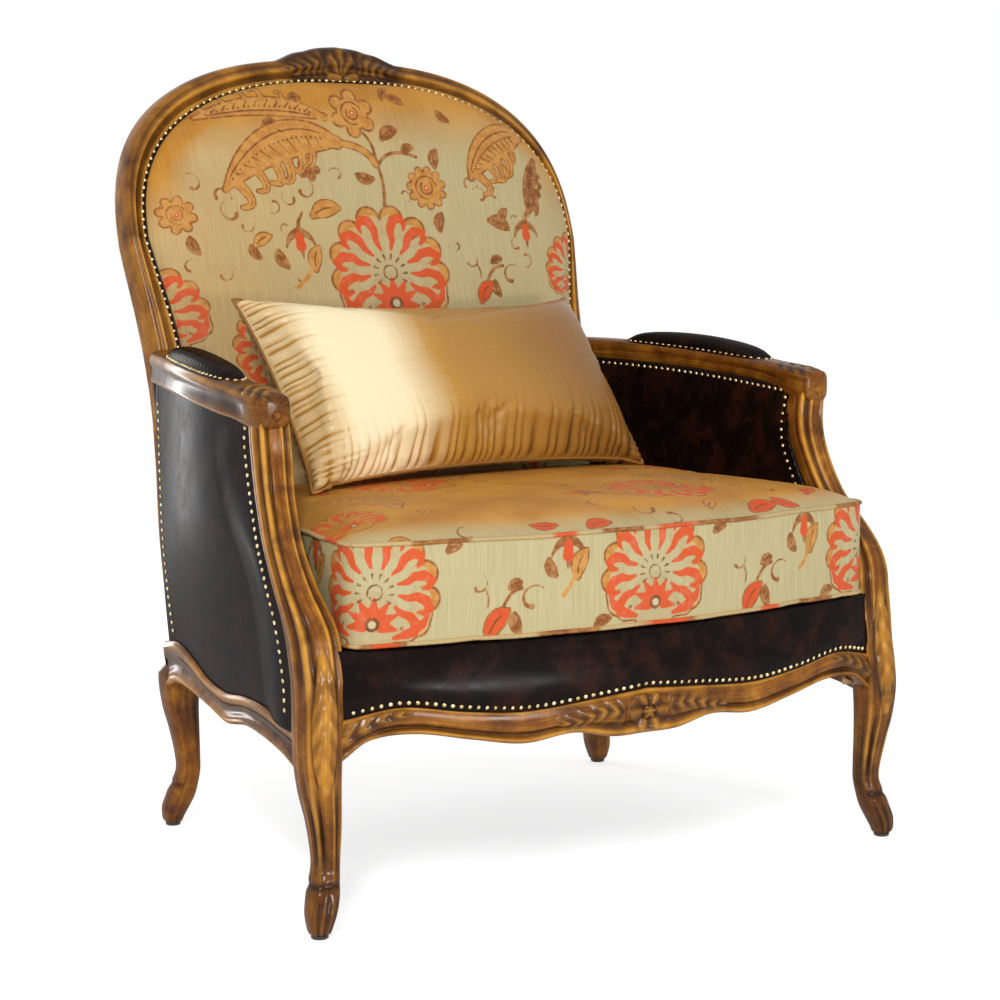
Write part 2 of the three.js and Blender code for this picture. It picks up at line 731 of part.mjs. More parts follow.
// Padded inner back: fills the arch and swells forward of the frame.
function innerBack() {
  const rows = steps(14).map(towardTop);
  const columns = steps(12);
  const top = springHeight + archInnerRise;
  const normal = new THREE.Vector3(0, Math.cos(rake), -Math.sin(rake));
  const half = (z) => Math.min(openingHalf(z), z < waistHeight ? innerArmX(armBackY) : Infinity);
  const surface = (depth, crown) => rows.map((up) => columns.map((across) => {
    const z = THREE.MathUtils.lerp(innerBackBottom, top, up * backTopShare);
    const s = across * 2 - 1;
    const fullness = THREE.MathUtils.lerp(lowCrownShare, 1,
      THREE.MathUtils.smoothstep(z, innerBackBottom, bendHeight));
    const round = fullness * Math.sqrt((1 - Math.abs(s) ** backSidePower)
      * (1 - up ** backTopPower));
    const plane = backFaceY + Math.tan(rake) * (z - backFaceHeight);
    return new THREE.Vector3(s * half(z), plane, z)
      .addScaledVector(normal, depth - crown * round);
  }));
  const rough = panel(surface(-innerBackEdge, innerBackCrown - innerBackEdge),
    surface(innerBackThick, 0));
  return cutBy(rough, backPost(-1, seatGap), backPost(1, seatGap), armRail(-1, seatGap),
    armRail(1, seatGap), innerArmSpace(-1), innerArmSpace(1), crestRail(seatGap));
}

// The wedge of space that an inner arm fills, for the inner back to stop at.
function innerArmSpace(side) {
  const rise = armTop - innerBackBottom;
  const wall = new THREE.BoxGeometry(armHalfWide * 2, backDepth * 4, rise * 2);
  wall.translate(side * (innerArmX(armBackY) + armHalfWide - seatGap), backFace(waistHeight)
    - backDepth * 2, armTop - rise);
  return wall;
}

// Outer back: a thin covered panel set into the back of the frame.
function outerBack() {
  const rows = steps(12).map(towardTop);
  const columns = steps(8);
  const low = railTop + seatGap + railWave;
  const top = springHeight + archInnerRise;
  const surface = (depth) => rows.map((up) => columns.map((across) => {
    const z = THREE.MathUtils.lerp(low, top, up * backTopShare);
    const s = across * 2 - 1;
    const round = (1 - s ** backSidePower) * (1 - (2 * up - 1) ** backSidePower);
    return new THREE.Vector3(s * openingHalf(z), backFace(z), z)
      .addScaledVector(backNormal(z), backDepth - depth + outerBackCrown * round);
  }));
  return cutBy(panel(surface(outerBackThick + 2 * seatGap), surface(2 * seatGap)),
    backPost(-1, seatGap), backPost(1, seatGap), crestRail(seatGap));
}

// Leather front border: stands on the front rail under the cushion.
function frontBorder() {
  const end = frontFootHalf - cutOverrun;
  const rows = steps(4);
  const columns = steps(frontStations);
  const borderPower = Math.log(0.5) / Math.log(borderFullShare);
  const surface = (depth, swell) => rows.map((up) => columns.map((across) => {
    const x = THREE.MathUtils.lerp(-end, end, across);
    const low = frontRailEdge(frontTopShares, railTop, x) + seatGap;
    const z = THREE.MathUtils.lerp(low, deckTop, up);
    const bulge = swell * arched(up ** borderPower, stuffingPower)
      * (1 - Math.abs(2 * across - 1) ** borderEndPower);
    return new THREE.Vector3(x, frontRailY(x) + depth - bulge, z);
  }));
  return cutBy(panel(surface(borderInset, borderSwell), surface(borderThick, 0)),
    frontLeg(-1, seatGap), frontLeg(1, seatGap), armSupport(-1, seatGap),
    armSupport(1, seatGap), frontRail(seatGap));
}

// Spring deck: the firm platform that the cushion lies on.
function seatDeck() {
  const front = steps(12).map((share) => {
    const half = innerArmX(armFrontY) - seatGap * 2;
    const x = THREE.MathUtils.lerp(-half, half, share);
    return [x, frontRailY(x) + borderThick + seatGap];
  });
  const back = backFace(deckTop) - innerBackCrown / 2;
  const backHalf = innerArmX(back) - seatGap * 2;
  const shape = new THREE.Shape();
  shape.moveTo(...front[0]);
  front.slice(1).forEach((point) => shape.lineTo(...point));
  shape.lineTo(backHalf, back);
  shape.lineTo(-backHalf, back);
  const deck = new THREE.ExtrudeGeometry(shape, { depth: deckThick, bevelEnabled: false });
  deck.translate(0, 0, deckTop - deckThick);
  return cutBy(deck, innerArm(-1), innerArm(1), armSupport(-1, seatGap),
    armSupport(1, seatGap), frontLeg(-1, seatGap), frontLeg(1, seatGap), innerBack());
}

// Coil spring: an hourglass helix of round wire.
class SpringCurve extends THREE.Curve {
  constructor(radius, waistShare, height, turns) {
    super();
    Object.assign(this, { radius, waistShare, height, turns });
  }

  getPoint(t, target = new THREE.Vector3()) {
    const angle = 2 * Math.PI * this.turns * t;
    const waist = 1 - (1 - this.waistShare) * Math.sin(Math.PI * t);
    return target.set(this.radius * waist * Math.cos(angle),
      this.radius * waist * Math.sin(angle), this.height * t);
  }
}

function seatSpring(x, y) {
  const low = webbingTop + springWire + seatGap;
  const high = deckTop - deckThick - springWire - seatGap;
  const curve = new SpringCurve(springRadius, springWaistShare, high - low, springTurns);
  const wire = new THREE.Shape(steps(5).slice(1).map((share) => new THREE.Vector2(
    springWire * Math.cos(2 * Math.PI * share), springWire * Math.sin(2 * Math.PI * share))));
  const spring = new THREE.ExtrudeGeometry(wire, {
    steps: springSteps, bevelEnabled: false, extrudePath: curve,
  });
  spring.translate(x, y, low);
  return spring;
}

// Middle of the space inside the rails.
const seatMiddleY = (frontRailSetback + footSpan - rearRailThick) / 2;
const seatInnerHalf = rearFootHalf - railThick;
const springPitchX = 2 * seatInnerHalf / springColumns;
const springPitchY = (footSpan - 2 * legBlock) / springRows;

const dustCoverTop = webbingTop - webbingThick - seatGap;

// Webbing: crossed straps in one woven mat, a strap under each row of springs
// and one between them.
function seatWebbing() {
  const halfX = frontFootHalf;
  const halfY = footSpan / 2 + frontBow;
  let mat = null;
  const strap = (width, length, x, y) => {
    const box = new THREE.BoxGeometry(width, length, webbingThick);
    box.translate(x, y + seatMiddleY, webbingTop - webbingThick / 2);
    mat = mat ? joined(mat, box) : box;
  };
  for (let column = 1 - springColumns; column < springColumns; column += 1) {
    strap(webbingWide, 2 * halfY, column * springPitchX / 2, 0);
  }
  for (let row = 1 - springRows; row < springRows; row += 1) {
    strap(2 * halfX, webbingWide, 0, row * springPitchY / 2);
  }
  return cutBy(mat, frontRail(seatGap), rearRail(seatGap), sideRail(-1, seatGap),
    sideRail(1, seatGap));
}

// Rounded outline of the seat cushion, from its right front corner round.
function cushionOutline(count) {
  const front = cushionFrontY;
  const shape = new THREE.Shape();
  const r = cushionCorner;
  shape.moveTo(cushionFrontHalf, front + r);
  shape.lineTo(cushionBackHalf, cushionBackY - r);
  shape.quadraticCurveTo(cushionBackHalf, cushionBackY, cushionBackHalf - r, cushionBackY);
  shape.lineTo(r - cushionBackHalf, cushionBackY);
  shape.quadraticCurveTo(-cushionBackHalf, cushionBackY, -cushionBackHalf, cushionBackY - r);
  shape.lineTo(-cushionFrontHalf, front + r);
  const dip = r * cornerDipShare;
  shape.quadraticCurveTo(-cushionFrontHalf, front, r - cushionFrontHalf, front - dip);
  shape.quadraticCurveTo(0, front - 2 * cushionBow + dip, cushionFrontHalf - r, front - dip);
  shape.quadraticCurveTo(cushionFrontHalf, front, cushionFrontHalf, front + r);
  return shape.getSpacedPoints(count).slice(0, count);
}

// Height of the cushion's top at a share from its middle (0) to its welt (1).
function cushionCrownAt(share) {
  return cushionCrown * (1 - share ** crownPower);
}

// Seat cushion: crowned top, boxed sides that swell, and drawn-in welts.
function seatCushion() {
  const outline = cushionOutline(cushionPoints);
  const middle = new THREE.Vector2(0, (cushionFrontY - cushionBow + cushionBackY) / 2);
  const low = deckTop + cushionLift;
  const high = low + cushionThick;
  const rows = [];
  const welt = 1 - cushionDrawIn / cushionBackHalf;
  cushionUnderShares.forEach((share) => rows.push([share, deckTop + seatGap]));
  cushionSideShares.forEach((up) => rows.push([
    welt + cushionBulge / cushionFrontHalf * arched(up, 1),
    THREE.MathUtils.lerp(low, high, up)]));
  cushionTopShares.forEach((share) => rows.push([share, high + cushionCrownAt(share)]));
  return loft(rows.map(([share, z]) => outline.map((point) => {
    const flat = middle.clone().lerp(point, share);
    return new THREE.Vector3(flat.x, flat.y, z);
  })));
}

// How far a piece can move along a direction before it meets a support,
// measured by rays from the corners of each towards the other.
function roomToward(piece, support, direction) {
  const ray = new THREE.Raycaster();
  let room = Infinity;
  const cast = (from, to, heading) => {
    const target = new THREE.Mesh(to, new THREE.MeshBasicMaterial({
      side: THREE.DoubleSide,
    }));
    const points = from.attributes.position;
    for (let i = 0; i < points.count; i += 1) {
      ray.set(new THREE.Vector3().fromBufferAttribute(points, i), heading);
      const hit = ray.intersectObject(target)[0];
      if (hit) room = Math.min(room, hit.distance);
    }
  };
  cast(piece, support, direction);
  cast(support, piece, direction.clone().negate());
  return room;
}

// Lumbar pillow: knife edged, plump, its edges drawn in between the corners.
// It is lowered on to the cushion from above.
function lumbarPillow(cushion) {
  const rows = steps(10);
  const columns = steps(16);
  const turn = new THREE.Matrix4().makeRotationFromEuler(
    new THREE.Euler(-pillowLean, 0, pillowYaw, 'ZXY'));
  const surface = (face) => rows.map((up) => columns.map((across) => {
    const s = across * 2 - 1;
    const t = up * 2 - 1;
    const plump = ((1 - s ** 4) * (1 - Math.abs(t) ** 3)) ** pillowPower;
    const x = s * (pillowWide / 2 - pillowDrawIn * (1 - t ** 2));
    const z = t * (pillowHigh / 2 - pillowDrawIn * (1 - s ** 2));
    const y = face * (pillowEdge / 2 + (pillowThick - pillowEdge) / 2 * plump);
    return new THREE.Vector3(x, y, z).applyMatrix4(turn);
  }));
  const pillow = panel(surface(-1), surface(1));
  pillow.translate(pillowX, pillowY, 2 * pillowHigh + deckTop);
  const down = new THREE.Vector3(0, 0, -1);
  pillow.translate(0, 0, seatGap - roomToward(pillow, cushion, down));
  return pillow;
}

// Foot glide: a nailed disc under each foot.
function footGlide(side, end) {
  const [, out, back] = frontLegShares[0];
  const x = side * ((end === 'front' ? frontFootHalf : rearFootHalf) + out * legReach);
  const y = end === 'front' ? back * legReach : footSpan - back * legReach;
  const profile = [[0, 0], [glideRadius - glideRim, 0], [glideRadius, glideRim],
    [glideRadius, glideHeight], [0, glideHeight]].map(([r, z]) => new THREE.Vector2(r, z));
  const glide = new THREE.LatheGeometry(profile, 14);
  glide.rotateX(Math.PI / 2);
  glide.translate(x, y, 0);
  return glide;
}

// Dust cover: cloth stretched under the webbing, inside the seat rails.
function dustCover() {
  const front = steps(12).map((share) => {
    const x = THREE.MathUtils.lerp(-frontFootHalf, frontFootHalf, share);
    return [x, frontRailY(x) + railThick / 2];
  });
  const shape = new THREE.Shape();
  shape.moveTo(...front[0]);
  front.slice(1).forEach((point) => shape.lineTo(...point));
  shape.lineTo(rearFootHalf, footSpan);
  shape.lineTo(-rearFootHalf, footSpan);
  const cover = new THREE.ExtrudeGeometry(shape, {
    depth: dustCoverThick, bevelEnabled: false,
  });
  cover.translate(0, 0, dustCoverTop - dustCoverThick);
  return cutBy(cover, frontRail(seatGap), rearRail(seatGap), sideRail(-1, seatGap),
    sideRail(1, seatGap), frontLeg(-1, seatGap), frontLeg(1, seatGap),
    backPost(-1, seatGap), backPost(1, seatGap));
}

// Corner block: a glued triangle in each corner of the seat frame.
function cornerBlock(side, end) {
  const isFront = end === 'front';
  const x = sideLine(isFront ? 0 : 1).x - railThick / 2;
  const y = isFront ? frontRailSetback + railThick / 2 : footSpan - rearRailThick / 2;
  const turn = isFront ? 1 : -1;
  const shape = new THREE.Shape();
  shape.moveTo(0, 0);
  shape.lineTo(-side * cornerBlockSize, 0);
  shape.lineTo(0, turn * cornerBlockSize);
  const block = new THREE.ExtrudeGeometry(shape, {
    depth: cornerBlockDeep, bevelEnabled: false,
  });
  block.translate(side * x, y, dustCoverTop - dustCoverThick - seatGap - cornerBlockDeep);
  return cutBy(block, sideRail(side, seatGap), isFront ? frontRail(seatGap)
    : rearRail(seatGap), isFront ? frontLeg(side, seatGap) : backPost(side, seatGap));
}

// Assembly
sides.forEach(([name, side]) => {
  add(`front_leg_${name}`, frontLeg(side), walnut);
  add(`arm_support_${name}`, cutBy(armSupport(side), armRail(side, seatGap)), walnut);
  add(`arm_rail_${name}`, cutBy(armRail(side), backPost(side, seatGap)), walnut);
  add(`back_post_${name}`, backPost(side), walnut);
  add(`side_rail_${name}`, cutBy(sideRail(side), frontLeg(side, seatGap),
    backPost(side, seatGap)), walnut);
  add(`arm_pad_${name}`, armPad(side), leather);
  add(`inner_arm_${name}`, innerArm(side), leather);
  add(`outer_arm_${name}`, outerArm(side), leather);
});
add('crest_rail', crestRail(), walnut);
const frontLegs = sides.map(([, side]) => frontLeg(side, seatGap));
const backPosts = sides.map(([, side]) => backPost(side, seatGap));
add('front_rail', cutBy(frontRail(), ...frontLegs), walnut);
add('rear_rail', cutBy(rearRail(), ...backPosts), walnut);
add('back_cross_rail', cutBy(backRail(crossRailHeight, crossRailDeep, crossRailThick),
  ...backPosts), beech);
add('inner_back', innerBack(), brocade);
add('outer_back', outerBack(), leather);
add('front_border', frontBorder(), leather);
add('seat_deck', seatDeck(), cambric);
add('seat_webbing', seatWebbing(), jute);
for (let column = 0; column < springColumns; column += 1) {
  for (let row = 0; row < springRows; row += 1) {
    const x = (column - (springColumns - 1) / 2) * springPitchX;
    const y = seatMiddleY + (row - (springRows - 1) / 2) * springPitchY;
    add(`seat_spring_${row + 1}_${column + 1}`, seatSpring(x, y), springSteel);
  }
}
add('dust_cover', dustCover(), cambric);
sides.forEach(([name, side]) => {
  add(`corner_block_front_${name}`, cornerBlock(side, 'front'), beech);
  add(`corner_block_rear_${name}`, cornerBlock(side, 'rear'), beech);
  add(`glide_front_${name}`, footGlide(side, 'front'), nylon);
  add(`glide_rear_${name}`, footGlide(side, 'rear'), nylon);
});
const cushion = seatCushion();
add('seat_cushion', cushion, brocade);
add('lumbar_pillow', lumbarPillow(cushion), silk);

const outline = new THREE.Box3().setFromObject(chair);
const middle = outline.getCenter(new THREE.Vector3());
chair.position.set(-middle.x, -middle.y, 0);

export default chair;
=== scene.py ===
import json
import math

import bpy
import numpy as np
from mathutils import Matrix, Vector

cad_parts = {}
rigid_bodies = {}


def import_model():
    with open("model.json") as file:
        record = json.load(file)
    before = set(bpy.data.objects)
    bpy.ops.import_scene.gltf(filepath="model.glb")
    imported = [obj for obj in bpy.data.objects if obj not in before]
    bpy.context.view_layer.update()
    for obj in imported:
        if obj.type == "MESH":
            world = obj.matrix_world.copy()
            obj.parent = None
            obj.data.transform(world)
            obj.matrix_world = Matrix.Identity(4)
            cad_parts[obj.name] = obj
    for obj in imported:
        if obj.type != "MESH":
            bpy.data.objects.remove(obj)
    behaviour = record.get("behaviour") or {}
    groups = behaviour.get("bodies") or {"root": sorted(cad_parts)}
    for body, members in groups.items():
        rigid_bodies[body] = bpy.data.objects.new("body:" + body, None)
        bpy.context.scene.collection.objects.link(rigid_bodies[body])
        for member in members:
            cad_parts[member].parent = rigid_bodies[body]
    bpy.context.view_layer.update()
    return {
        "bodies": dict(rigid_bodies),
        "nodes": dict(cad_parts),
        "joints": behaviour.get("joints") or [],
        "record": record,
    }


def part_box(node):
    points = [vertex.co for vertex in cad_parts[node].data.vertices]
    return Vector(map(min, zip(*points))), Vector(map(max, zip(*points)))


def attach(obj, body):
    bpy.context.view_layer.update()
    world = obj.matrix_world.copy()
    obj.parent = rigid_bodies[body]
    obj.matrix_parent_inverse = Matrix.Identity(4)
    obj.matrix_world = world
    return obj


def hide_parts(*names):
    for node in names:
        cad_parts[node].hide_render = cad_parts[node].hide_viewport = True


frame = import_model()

# A wide bergere armchair: moulded and carved walnut, nailed leather, brocade and gold silk.
# Sizes are metres, angles degrees. Shapes are set out with y = 0 on the line through the front
# feet, the chair facing -y, and move to the frame's own origin when their mesh is made.
scene = bpy.context.scene

feet = {"frontHalf": 0.429, "rearHalf": 0.355, "span": 0.565}

legs = {
    "height": 0.300,      # floor to the joint under the arm support
    "reach": 0.020,       # how far the cabriole line wanders
    "block": 0.0285,      # half size of the thickest section
    "power": 3.0,         # roundness of the section
    "bottom": 0.00435,    # the wood starts above its glide
    "coveDepth": 0.0036,  # hollows run along the faces
    "bead": 0.0010,       # and the beads between them
    "leafRelief": 0.0026, # carved leaf on the knee
    "leafEdge": 0.0012,   # groove round the leaf
    "leafLow": 0.165,     # its tip and its root, as heights
    "leafHigh": 0.345,
    "collar": 0.0020,     # groove above the scrolled foot
    "flutes": 0.0014,
    "eased": [0.86, 0.95], # share of the section at the lowest two rings
}
# height, outward and backward shares, and the section's share of the block
legTable = [
    [0.014, 0.1, -0.1, 0.4], [0.04, 0.1, -0.1, 0.49], [0.09, -0.05, 0.05, 0.615],
    [0.14, -0.28, 0.28, 0.65], [0.19, -0.46, 0.46, 0.63], [0.26, -0.7, 0.7, 0.55],
    [0.325, -0.7, 0.7, 0.56], [0.45, -0.53, 0.6, 0.67], [0.565, -0.3, 0.55, 0.81],
    [0.685, -0.21, 0.58, 0.91], [0.8, -0.3, 0.75, 0.95], [0.9, -0.42, 0.95, 0.965],
    [1, -0.5, 1.12, 0.98],
]
support = {"height": 0.300, "sweep": 0.128, "reach": 0.018}
supportTable = [
    [0, -0.55, 0.175, 0.98], [0.13, -0.53, 0.235, 1], [0.2, -0.4, 0.27, 0.98],
    [0.265, -0.22, 0.332, 0.91], [0.33, -0.11, 0.437, 0.84], [0.4, -0.17, 0.578, 0.79],
    [0.465, -0.33, 0.723, 0.76], [0.53, -0.53, 0.86, 0.745], [0.6, -0.69, 0.96, 0.74],
    [0.665, -0.8, 1.04, 0.74], [0.73, -0.91, 1.105, 0.75], [0.8, -1, 1.155, 0.77],
    [0.87, -1, 1.18, 0.78], [0.94, -0.92, 1.18, 0.77], [1, -0.8, 1.17, 0.74],
]
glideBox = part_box("glide_front_left")
footLine = (glideBox[0].y + glideBox[1].y) / 2 + 0.1 * legs["reach"]


# Shared geometry

# Smooth value at places in a table of [place, value] rows: a cubic whose slope at a row is that
# of the line between its neighbours.
def smoothAt(rows, place):
    x, y = np.asarray(rows, float).T
    place = np.clip(place, x[0], x[-1])
    i = np.clip(np.searchsorted(x, place, side="left") - 1, 0, len(x) - 2)
    before, after = np.maximum(i - 1, 0), np.minimum(i + 2, len(x) - 1)
    span = x[i + 1] - x[i]
    t = (place - x[i]) / span
    leave = (y[i + 1] - y[before]) / (x[i + 1] - x[before]) * span
    arrive = (y[after] - y[i]) / (x[after] - x[i]) * span
    return (y[i] * (2 * t**3 - 3 * t**2 + 1) + leave * (t**3 - 2 * t**2 + t)
            + y[i + 1] * (3 * t**2 - 2 * t**3) + arrive * (t**3 - t**2))


# 0 below low, 1 above high, smooth between.
def rise(low, high, x):
    t = np.clip((x - low) / (high - low), 0, 1)
    return t * t * (3 - 2 * t)


def mix(a, b, t):
    return a + (b - a) * t


# From 0 to 1 and back, with a crest at every whole number.
def wave(x):
    return 0.5 + 0.5 * np.cos(2 * np.pi * x)


# A bump of height 1 at 0, falling to nearly 0 at 1, flatter on top the higher the power.
def bump(x, power=2.0):
    return np.exp(-2.2 * np.abs(x) ** power)


# Points of a rounded square |u|^p + |v|^p = 1.
def roundedSquare(count, power):
    angle = (np.arange(count) + 0.5) * 2 * np.pi / count
    reach = (np.abs(np.cos(angle)) ** power + np.abs(np.sin(angle)) ** power) ** (-1 / power)
    return np.stack([np.cos(angle) * reach, np.sin(angle) * reach], 1)


def unit(vectors):
    return vectors / np.maximum(np.linalg.norm(vectors, axis=-1, keepdims=True), 1e-12)


# Coordinates, each a number or an array, spread over one grid of points.
def gridOf(*parts):
    return np.stack(np.broadcast_arrays(*parts), -1)


def running(steps):
    return np.concatenate([[0], np.cumsum(steps)])


# How far along a line each of its points lies.
def lengthsOf(line):
    return running(np.linalg.norm(np.diff(line, axis=0), axis=1))


# Values that belong to a line's points, at other lengths along it.
def valuesAt(places, lengths, values):
    return np.stack([np.interp(places, lengths, v) for v in values.T], 1)


# A form is a dictionary of points, quads, triangles, their corner UVs and point fields.
def form(points, quads, tris, quadUv, triUv, fields=None):
    fields = {k: np.asarray(v, float).reshape(-1) for k, v in (fields or {}).items()}
    return outward({"points": np.asarray(points, float), "quads": quads, "tris": tris,
                    "quadUv": quadUv, "triUv": triUv, "fields": fields})


# A closed form whose faces look out of it: six times its volume is the sum of a . (b x c) over
# the triangles a, b, c that its faces make.
def outward(shape):
    a, b, c, d = (shape["points"][shape["quads"][:, i]] for i in range(4))
    volume = np.einsum("ij,ij->", a, np.cross(b, c)) + np.einsum("ij,ij->", a, np.cross(c, d))
    if len(shape["tris"]):
        a, b, c = (shape["points"][shape["tris"][:, i]] for i in range(3))
        volume += np.einsum("ij,ij->", a, np.cross(b, c))
    return flipped(shape) if volume < 0 else shape


def flipped(made):
    return {**made, "quads": made["quads"][:, ::-1], "tris": made["tris"][:, ::-1],
            "quadUv": made["quadUv"][:, ::-1], "triUv": made["triUv"][:, ::-1]}


# The same form on the other side of the chair.
def mirrored(made):
    return flipped({**made, "points": made["points"] * [-1, 1, 1]})


# Rings joined in order into a closed body: quads between rings, a fan on each end. UV runs in
# metres along the rings and round them.
def loftForm(rings, fields=None):
    n, k, _ = rings.shape
    index = np.arange(n * k).reshape(n, k)
    turned = np.roll(index, -1, 1)
    quads = np.stack([index[:-1], turned[:-1], turned[1:], index[1:]], -1).reshape(-1, 4)
    middle = rings.mean(1)
    girth = np.linalg.norm(np.diff(np.concatenate([rings, rings[:, :1]], 1), axis=1), axis=2)
    grid = gridOf(lengthsOf(middle)[:, None], running(girth.mean(0))[None])
    quadUv = np.stack([grid[:-1, :-1], grid[:-1, 1:], grid[1:, 1:], grid[1:, :-1]], 2)
    hubs = n * k + np.arange(2)
    tris = np.concatenate([
        np.stack([np.full(k, hubs[0]), turned[0], index[0]], 1),
        np.stack([np.full(k, hubs[1]), index[-1], turned[-1]], 1)])
    capUv = np.stack([np.stack([grid[e, :-1]] * 3, 1) for e in (0, -1)]).reshape(-1, 3, 2)
    points = np.concatenate([rings.reshape(-1, 3), middle[[0, -1]]])
    fields = {name: np.concatenate([np.broadcast_to(v, (n, k)).ravel(),
                                    [np.mean(v), np.mean(v)]])
              for name, v in (fields or {}).items()}
    return form(points, quads, tris, quadUv.reshape(-1, 4, 2), capUv, fields)


# One grid of points as an open sheet; rim lists its border once round.
def gridForm(grid, uv, fields=None):
    rows, columns, _ = grid.shape
    index = np.arange(rows * columns).reshape(rows, columns)
    quads = np.stack([index[:-1, :-1], index[:-1, 1:], index[1:, 1:], index[1:, :-1]], -1)
    quads = quads.reshape(-1, 4)
    fields = {k: np.broadcast_to(v, (rows, columns)).ravel() for k, v in (fields or {}).items()}
    rim = np.concatenate([index[0, :-1], index[:-1, -1], index[-1, :0:-1], index[:0:-1, 0]])
    return {"points": grid.reshape(-1, 3), "quads": quads, "tris": np.zeros((0, 3), int),
            "quadUv": uv.reshape(-1, 2)[quads], "triUv": np.zeros((0, 3, 2)), "fields": fields,
            "rim": rim}


# Shares of the way up and across a grid.
def shares(rows, columns, low=0):
    return np.linspace(0, 1, rows)[:, None], np.linspace(low, 1, columns)[None]


# Two grids of points, the faces of a panel, joined round their border. UV runs in metres across
# and up the front, by its mean steps.
def panelForm(front, behind):
    across = np.linalg.norm(np.diff(front, axis=1), axis=2).mean(0)
    up = np.linalg.norm(np.diff(front, axis=0), axis=2).mean(1)
    uv = gridOf(running(across)[None], running(up)[:, None])
    sheet = gridForm(front, uv)
    cells, border, half = sheet["quads"], sheet["rim"], len(sheet["points"])
    after = np.roll(border, -1)
    rim = np.stack([after, border, half + border, half + after], 1)
    quads = np.concatenate([cells, half + cells[:, ::-1], rim])
    points = np.concatenate([sheet["points"], behind.reshape(-1, 3)])
    return form(points, quads, sheet["tris"], uv.reshape(-1, 2)[quads % half], sheet["triUv"])


# Several forms in one, fields missing from a form taken as 0.
def together(forms):
    names = sorted({name for f in forms for name in f["fields"]})
    starts = running([len(f["points"]) for f in forms])
    return {
        "points": np.concatenate([f["points"] for f in forms]),
        "quads": np.concatenate([f["quads"] + s for f, s in zip(forms, starts)]),
        "tris": np.concatenate([f["tris"] + s for f, s in zip(forms, starts)]),
        "quadUv": np.concatenate([f["quadUv"] for f in forms]),
        "triUv": np.concatenate([f["triUv"] for f in forms]),
        "fields": {name: np.concatenate([
            f["fields"].get(name, np.zeros(len(f["points"]))) for f in forms]) for name in names},
    }


# A form as a mesh object in the frame, riding on its body.
def makePiece(name, shape, material, body="frame", replaced=()):
    points, quads, tris = shape["points"] + [0, footLine, 0], shape["quads"], shape["tris"]
    corners = np.concatenate([quads.ravel(), tris.ravel()])
    totals = np.concatenate([np.full(len(quads), 4), np.full(len(tris), 3)])
    mesh = bpy.data.meshes.new(name)
    mesh.vertices.add(len(points))
    mesh.vertices.foreach_set("co", points.ravel())
    mesh.loops.add(len(corners))
    mesh.loops.foreach_set("vertex_index", corners.astype(np.int32))
    mesh.polygons.add(len(totals))
    mesh.polygons.foreach_set("loop_start", running(totals)[:-1])
    mesh.polygons.foreach_set("loop_total", totals)
    mesh.update(calc_edges=True)
    mesh.validate()
    uv = np.concatenate([shape["quadUv"].reshape(-1, 2), shape["triUv"].reshape(-1, 2)])
    mesh.uv_layers.new(name="UVMap").data.foreach_set("uv", uv.ravel())
    for field, values in shape["fields"].items():
        mesh.attributes.new(field, "FLOAT", "POINT").data.foreach_set("value", values)
    mesh.shade_smooth()
    mesh.materials.append(material)
    piece = bpy.data.objects.new(name, mesh)
    scene.collection.objects.link(piece)
    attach(piece, body)
    if replaced:
        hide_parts(*replaced)
    return piece


# A piece on the right and its mirror image on the left, each in place of its own side's solids.
def makePair(name, shape, material, *solids):
    return [makePiece(name + side, shape if side == "_right" else mirrored(shape), material,
                      replaced=[solid + side for solid in solids]) for side in ("_right", "_left")]


# A line cut into equal steps: the middles of the steps, and the values that go with them.
def evenly(points, step, *values):
    length = lengthsOf(points)
    count = max(int(round(length[-1] / step)), 1)
    at = (np.arange(count) + 0.5) * length[-1] / count
    made = [valuesAt(at, length, v) for v in (points, *values)]
    return made if values else made[0]


cordSides = 8


# A round tube along a path, its section turned with the path's own frame.
def tubeForm(path, radius, closed=False):
    ahead = unit(np.roll(path, -1, 0) - np.roll(path, 1, 0) if closed
                 else np.gradient(path, axis=0))
    up = np.where(np.abs(ahead[:, 2:]) > 0.9, [[1.0, 0, 0]], [[0, 0, 1.0]])
    across = unit(np.cross(ahead, up))
    lift = np.cross(across, ahead)
    angle = np.arange(cordSides) * 2 * np.pi / cordSides
    rings = path[:, None] + radius * (across[:, None] * np.cos(angle)[None, :, None]
                                      + lift[:, None] * np.sin(angle)[None, :, None])
    if not closed:
        return loftForm(rings)
    made = loftForm(np.concatenate([rings, rings[:1]]))
    n = len(path) * cordSides
    return {**made, "points": made["points"][:n], "quads": made["quads"] % n,
            "tris": made["tris"][:0], "triUv": made["triUv"][:0], "fields": {}}


# Finishes

# A colour as it looks, 0 to 255, to the linear values that a shader takes.
def colour(red, green, blue):
    c = np.array([red, green, blue]) / 255
    c = np.where(c <= 0.04045, c / 12.92, ((c + 0.055) / 1.055) ** 2.4)
    return (*c.tolist(), 1.0)


# Each socket takes a link or a plain value.
def feed(tree, sockets, values):
    for socket, value in zip(sockets, values):
        if isinstance(value, bpy.types.NodeSocket):
            tree.links.new(value, socket)
        else:
            socket.default_value = value


def addNode(tree, kind, inputs=None, **settings):
    made = tree.nodes.new("ShaderNode" + kind)
    for name, value in settings.items():
        setattr(made, name, value)
    inputs = inputs or {}
    feed(tree, [made.inputs[name] for name in inputs], inputs.values())
    return made


def startMaterial(name, look):
    material = bpy.data.materials.new(name)
    material.use_nodes = True
    shader = material.node_tree.nodes["Principled BSDF"]
    feed(material.node_tree, [shader.inputs[socket] for socket in look], look.values())
    return material, material.node_tree, shader


# The shader's tone, and a bump from a height.
def dress(tree, shader, tone, height, strength, distance):
    bump = addNode(tree, "Bump", {"Height": height, "Strength": strength, "Distance": distance})
    feed(tree, (shader.inputs["Base Color"], shader.inputs["Normal"]), (tone, bump.outputs[0]))


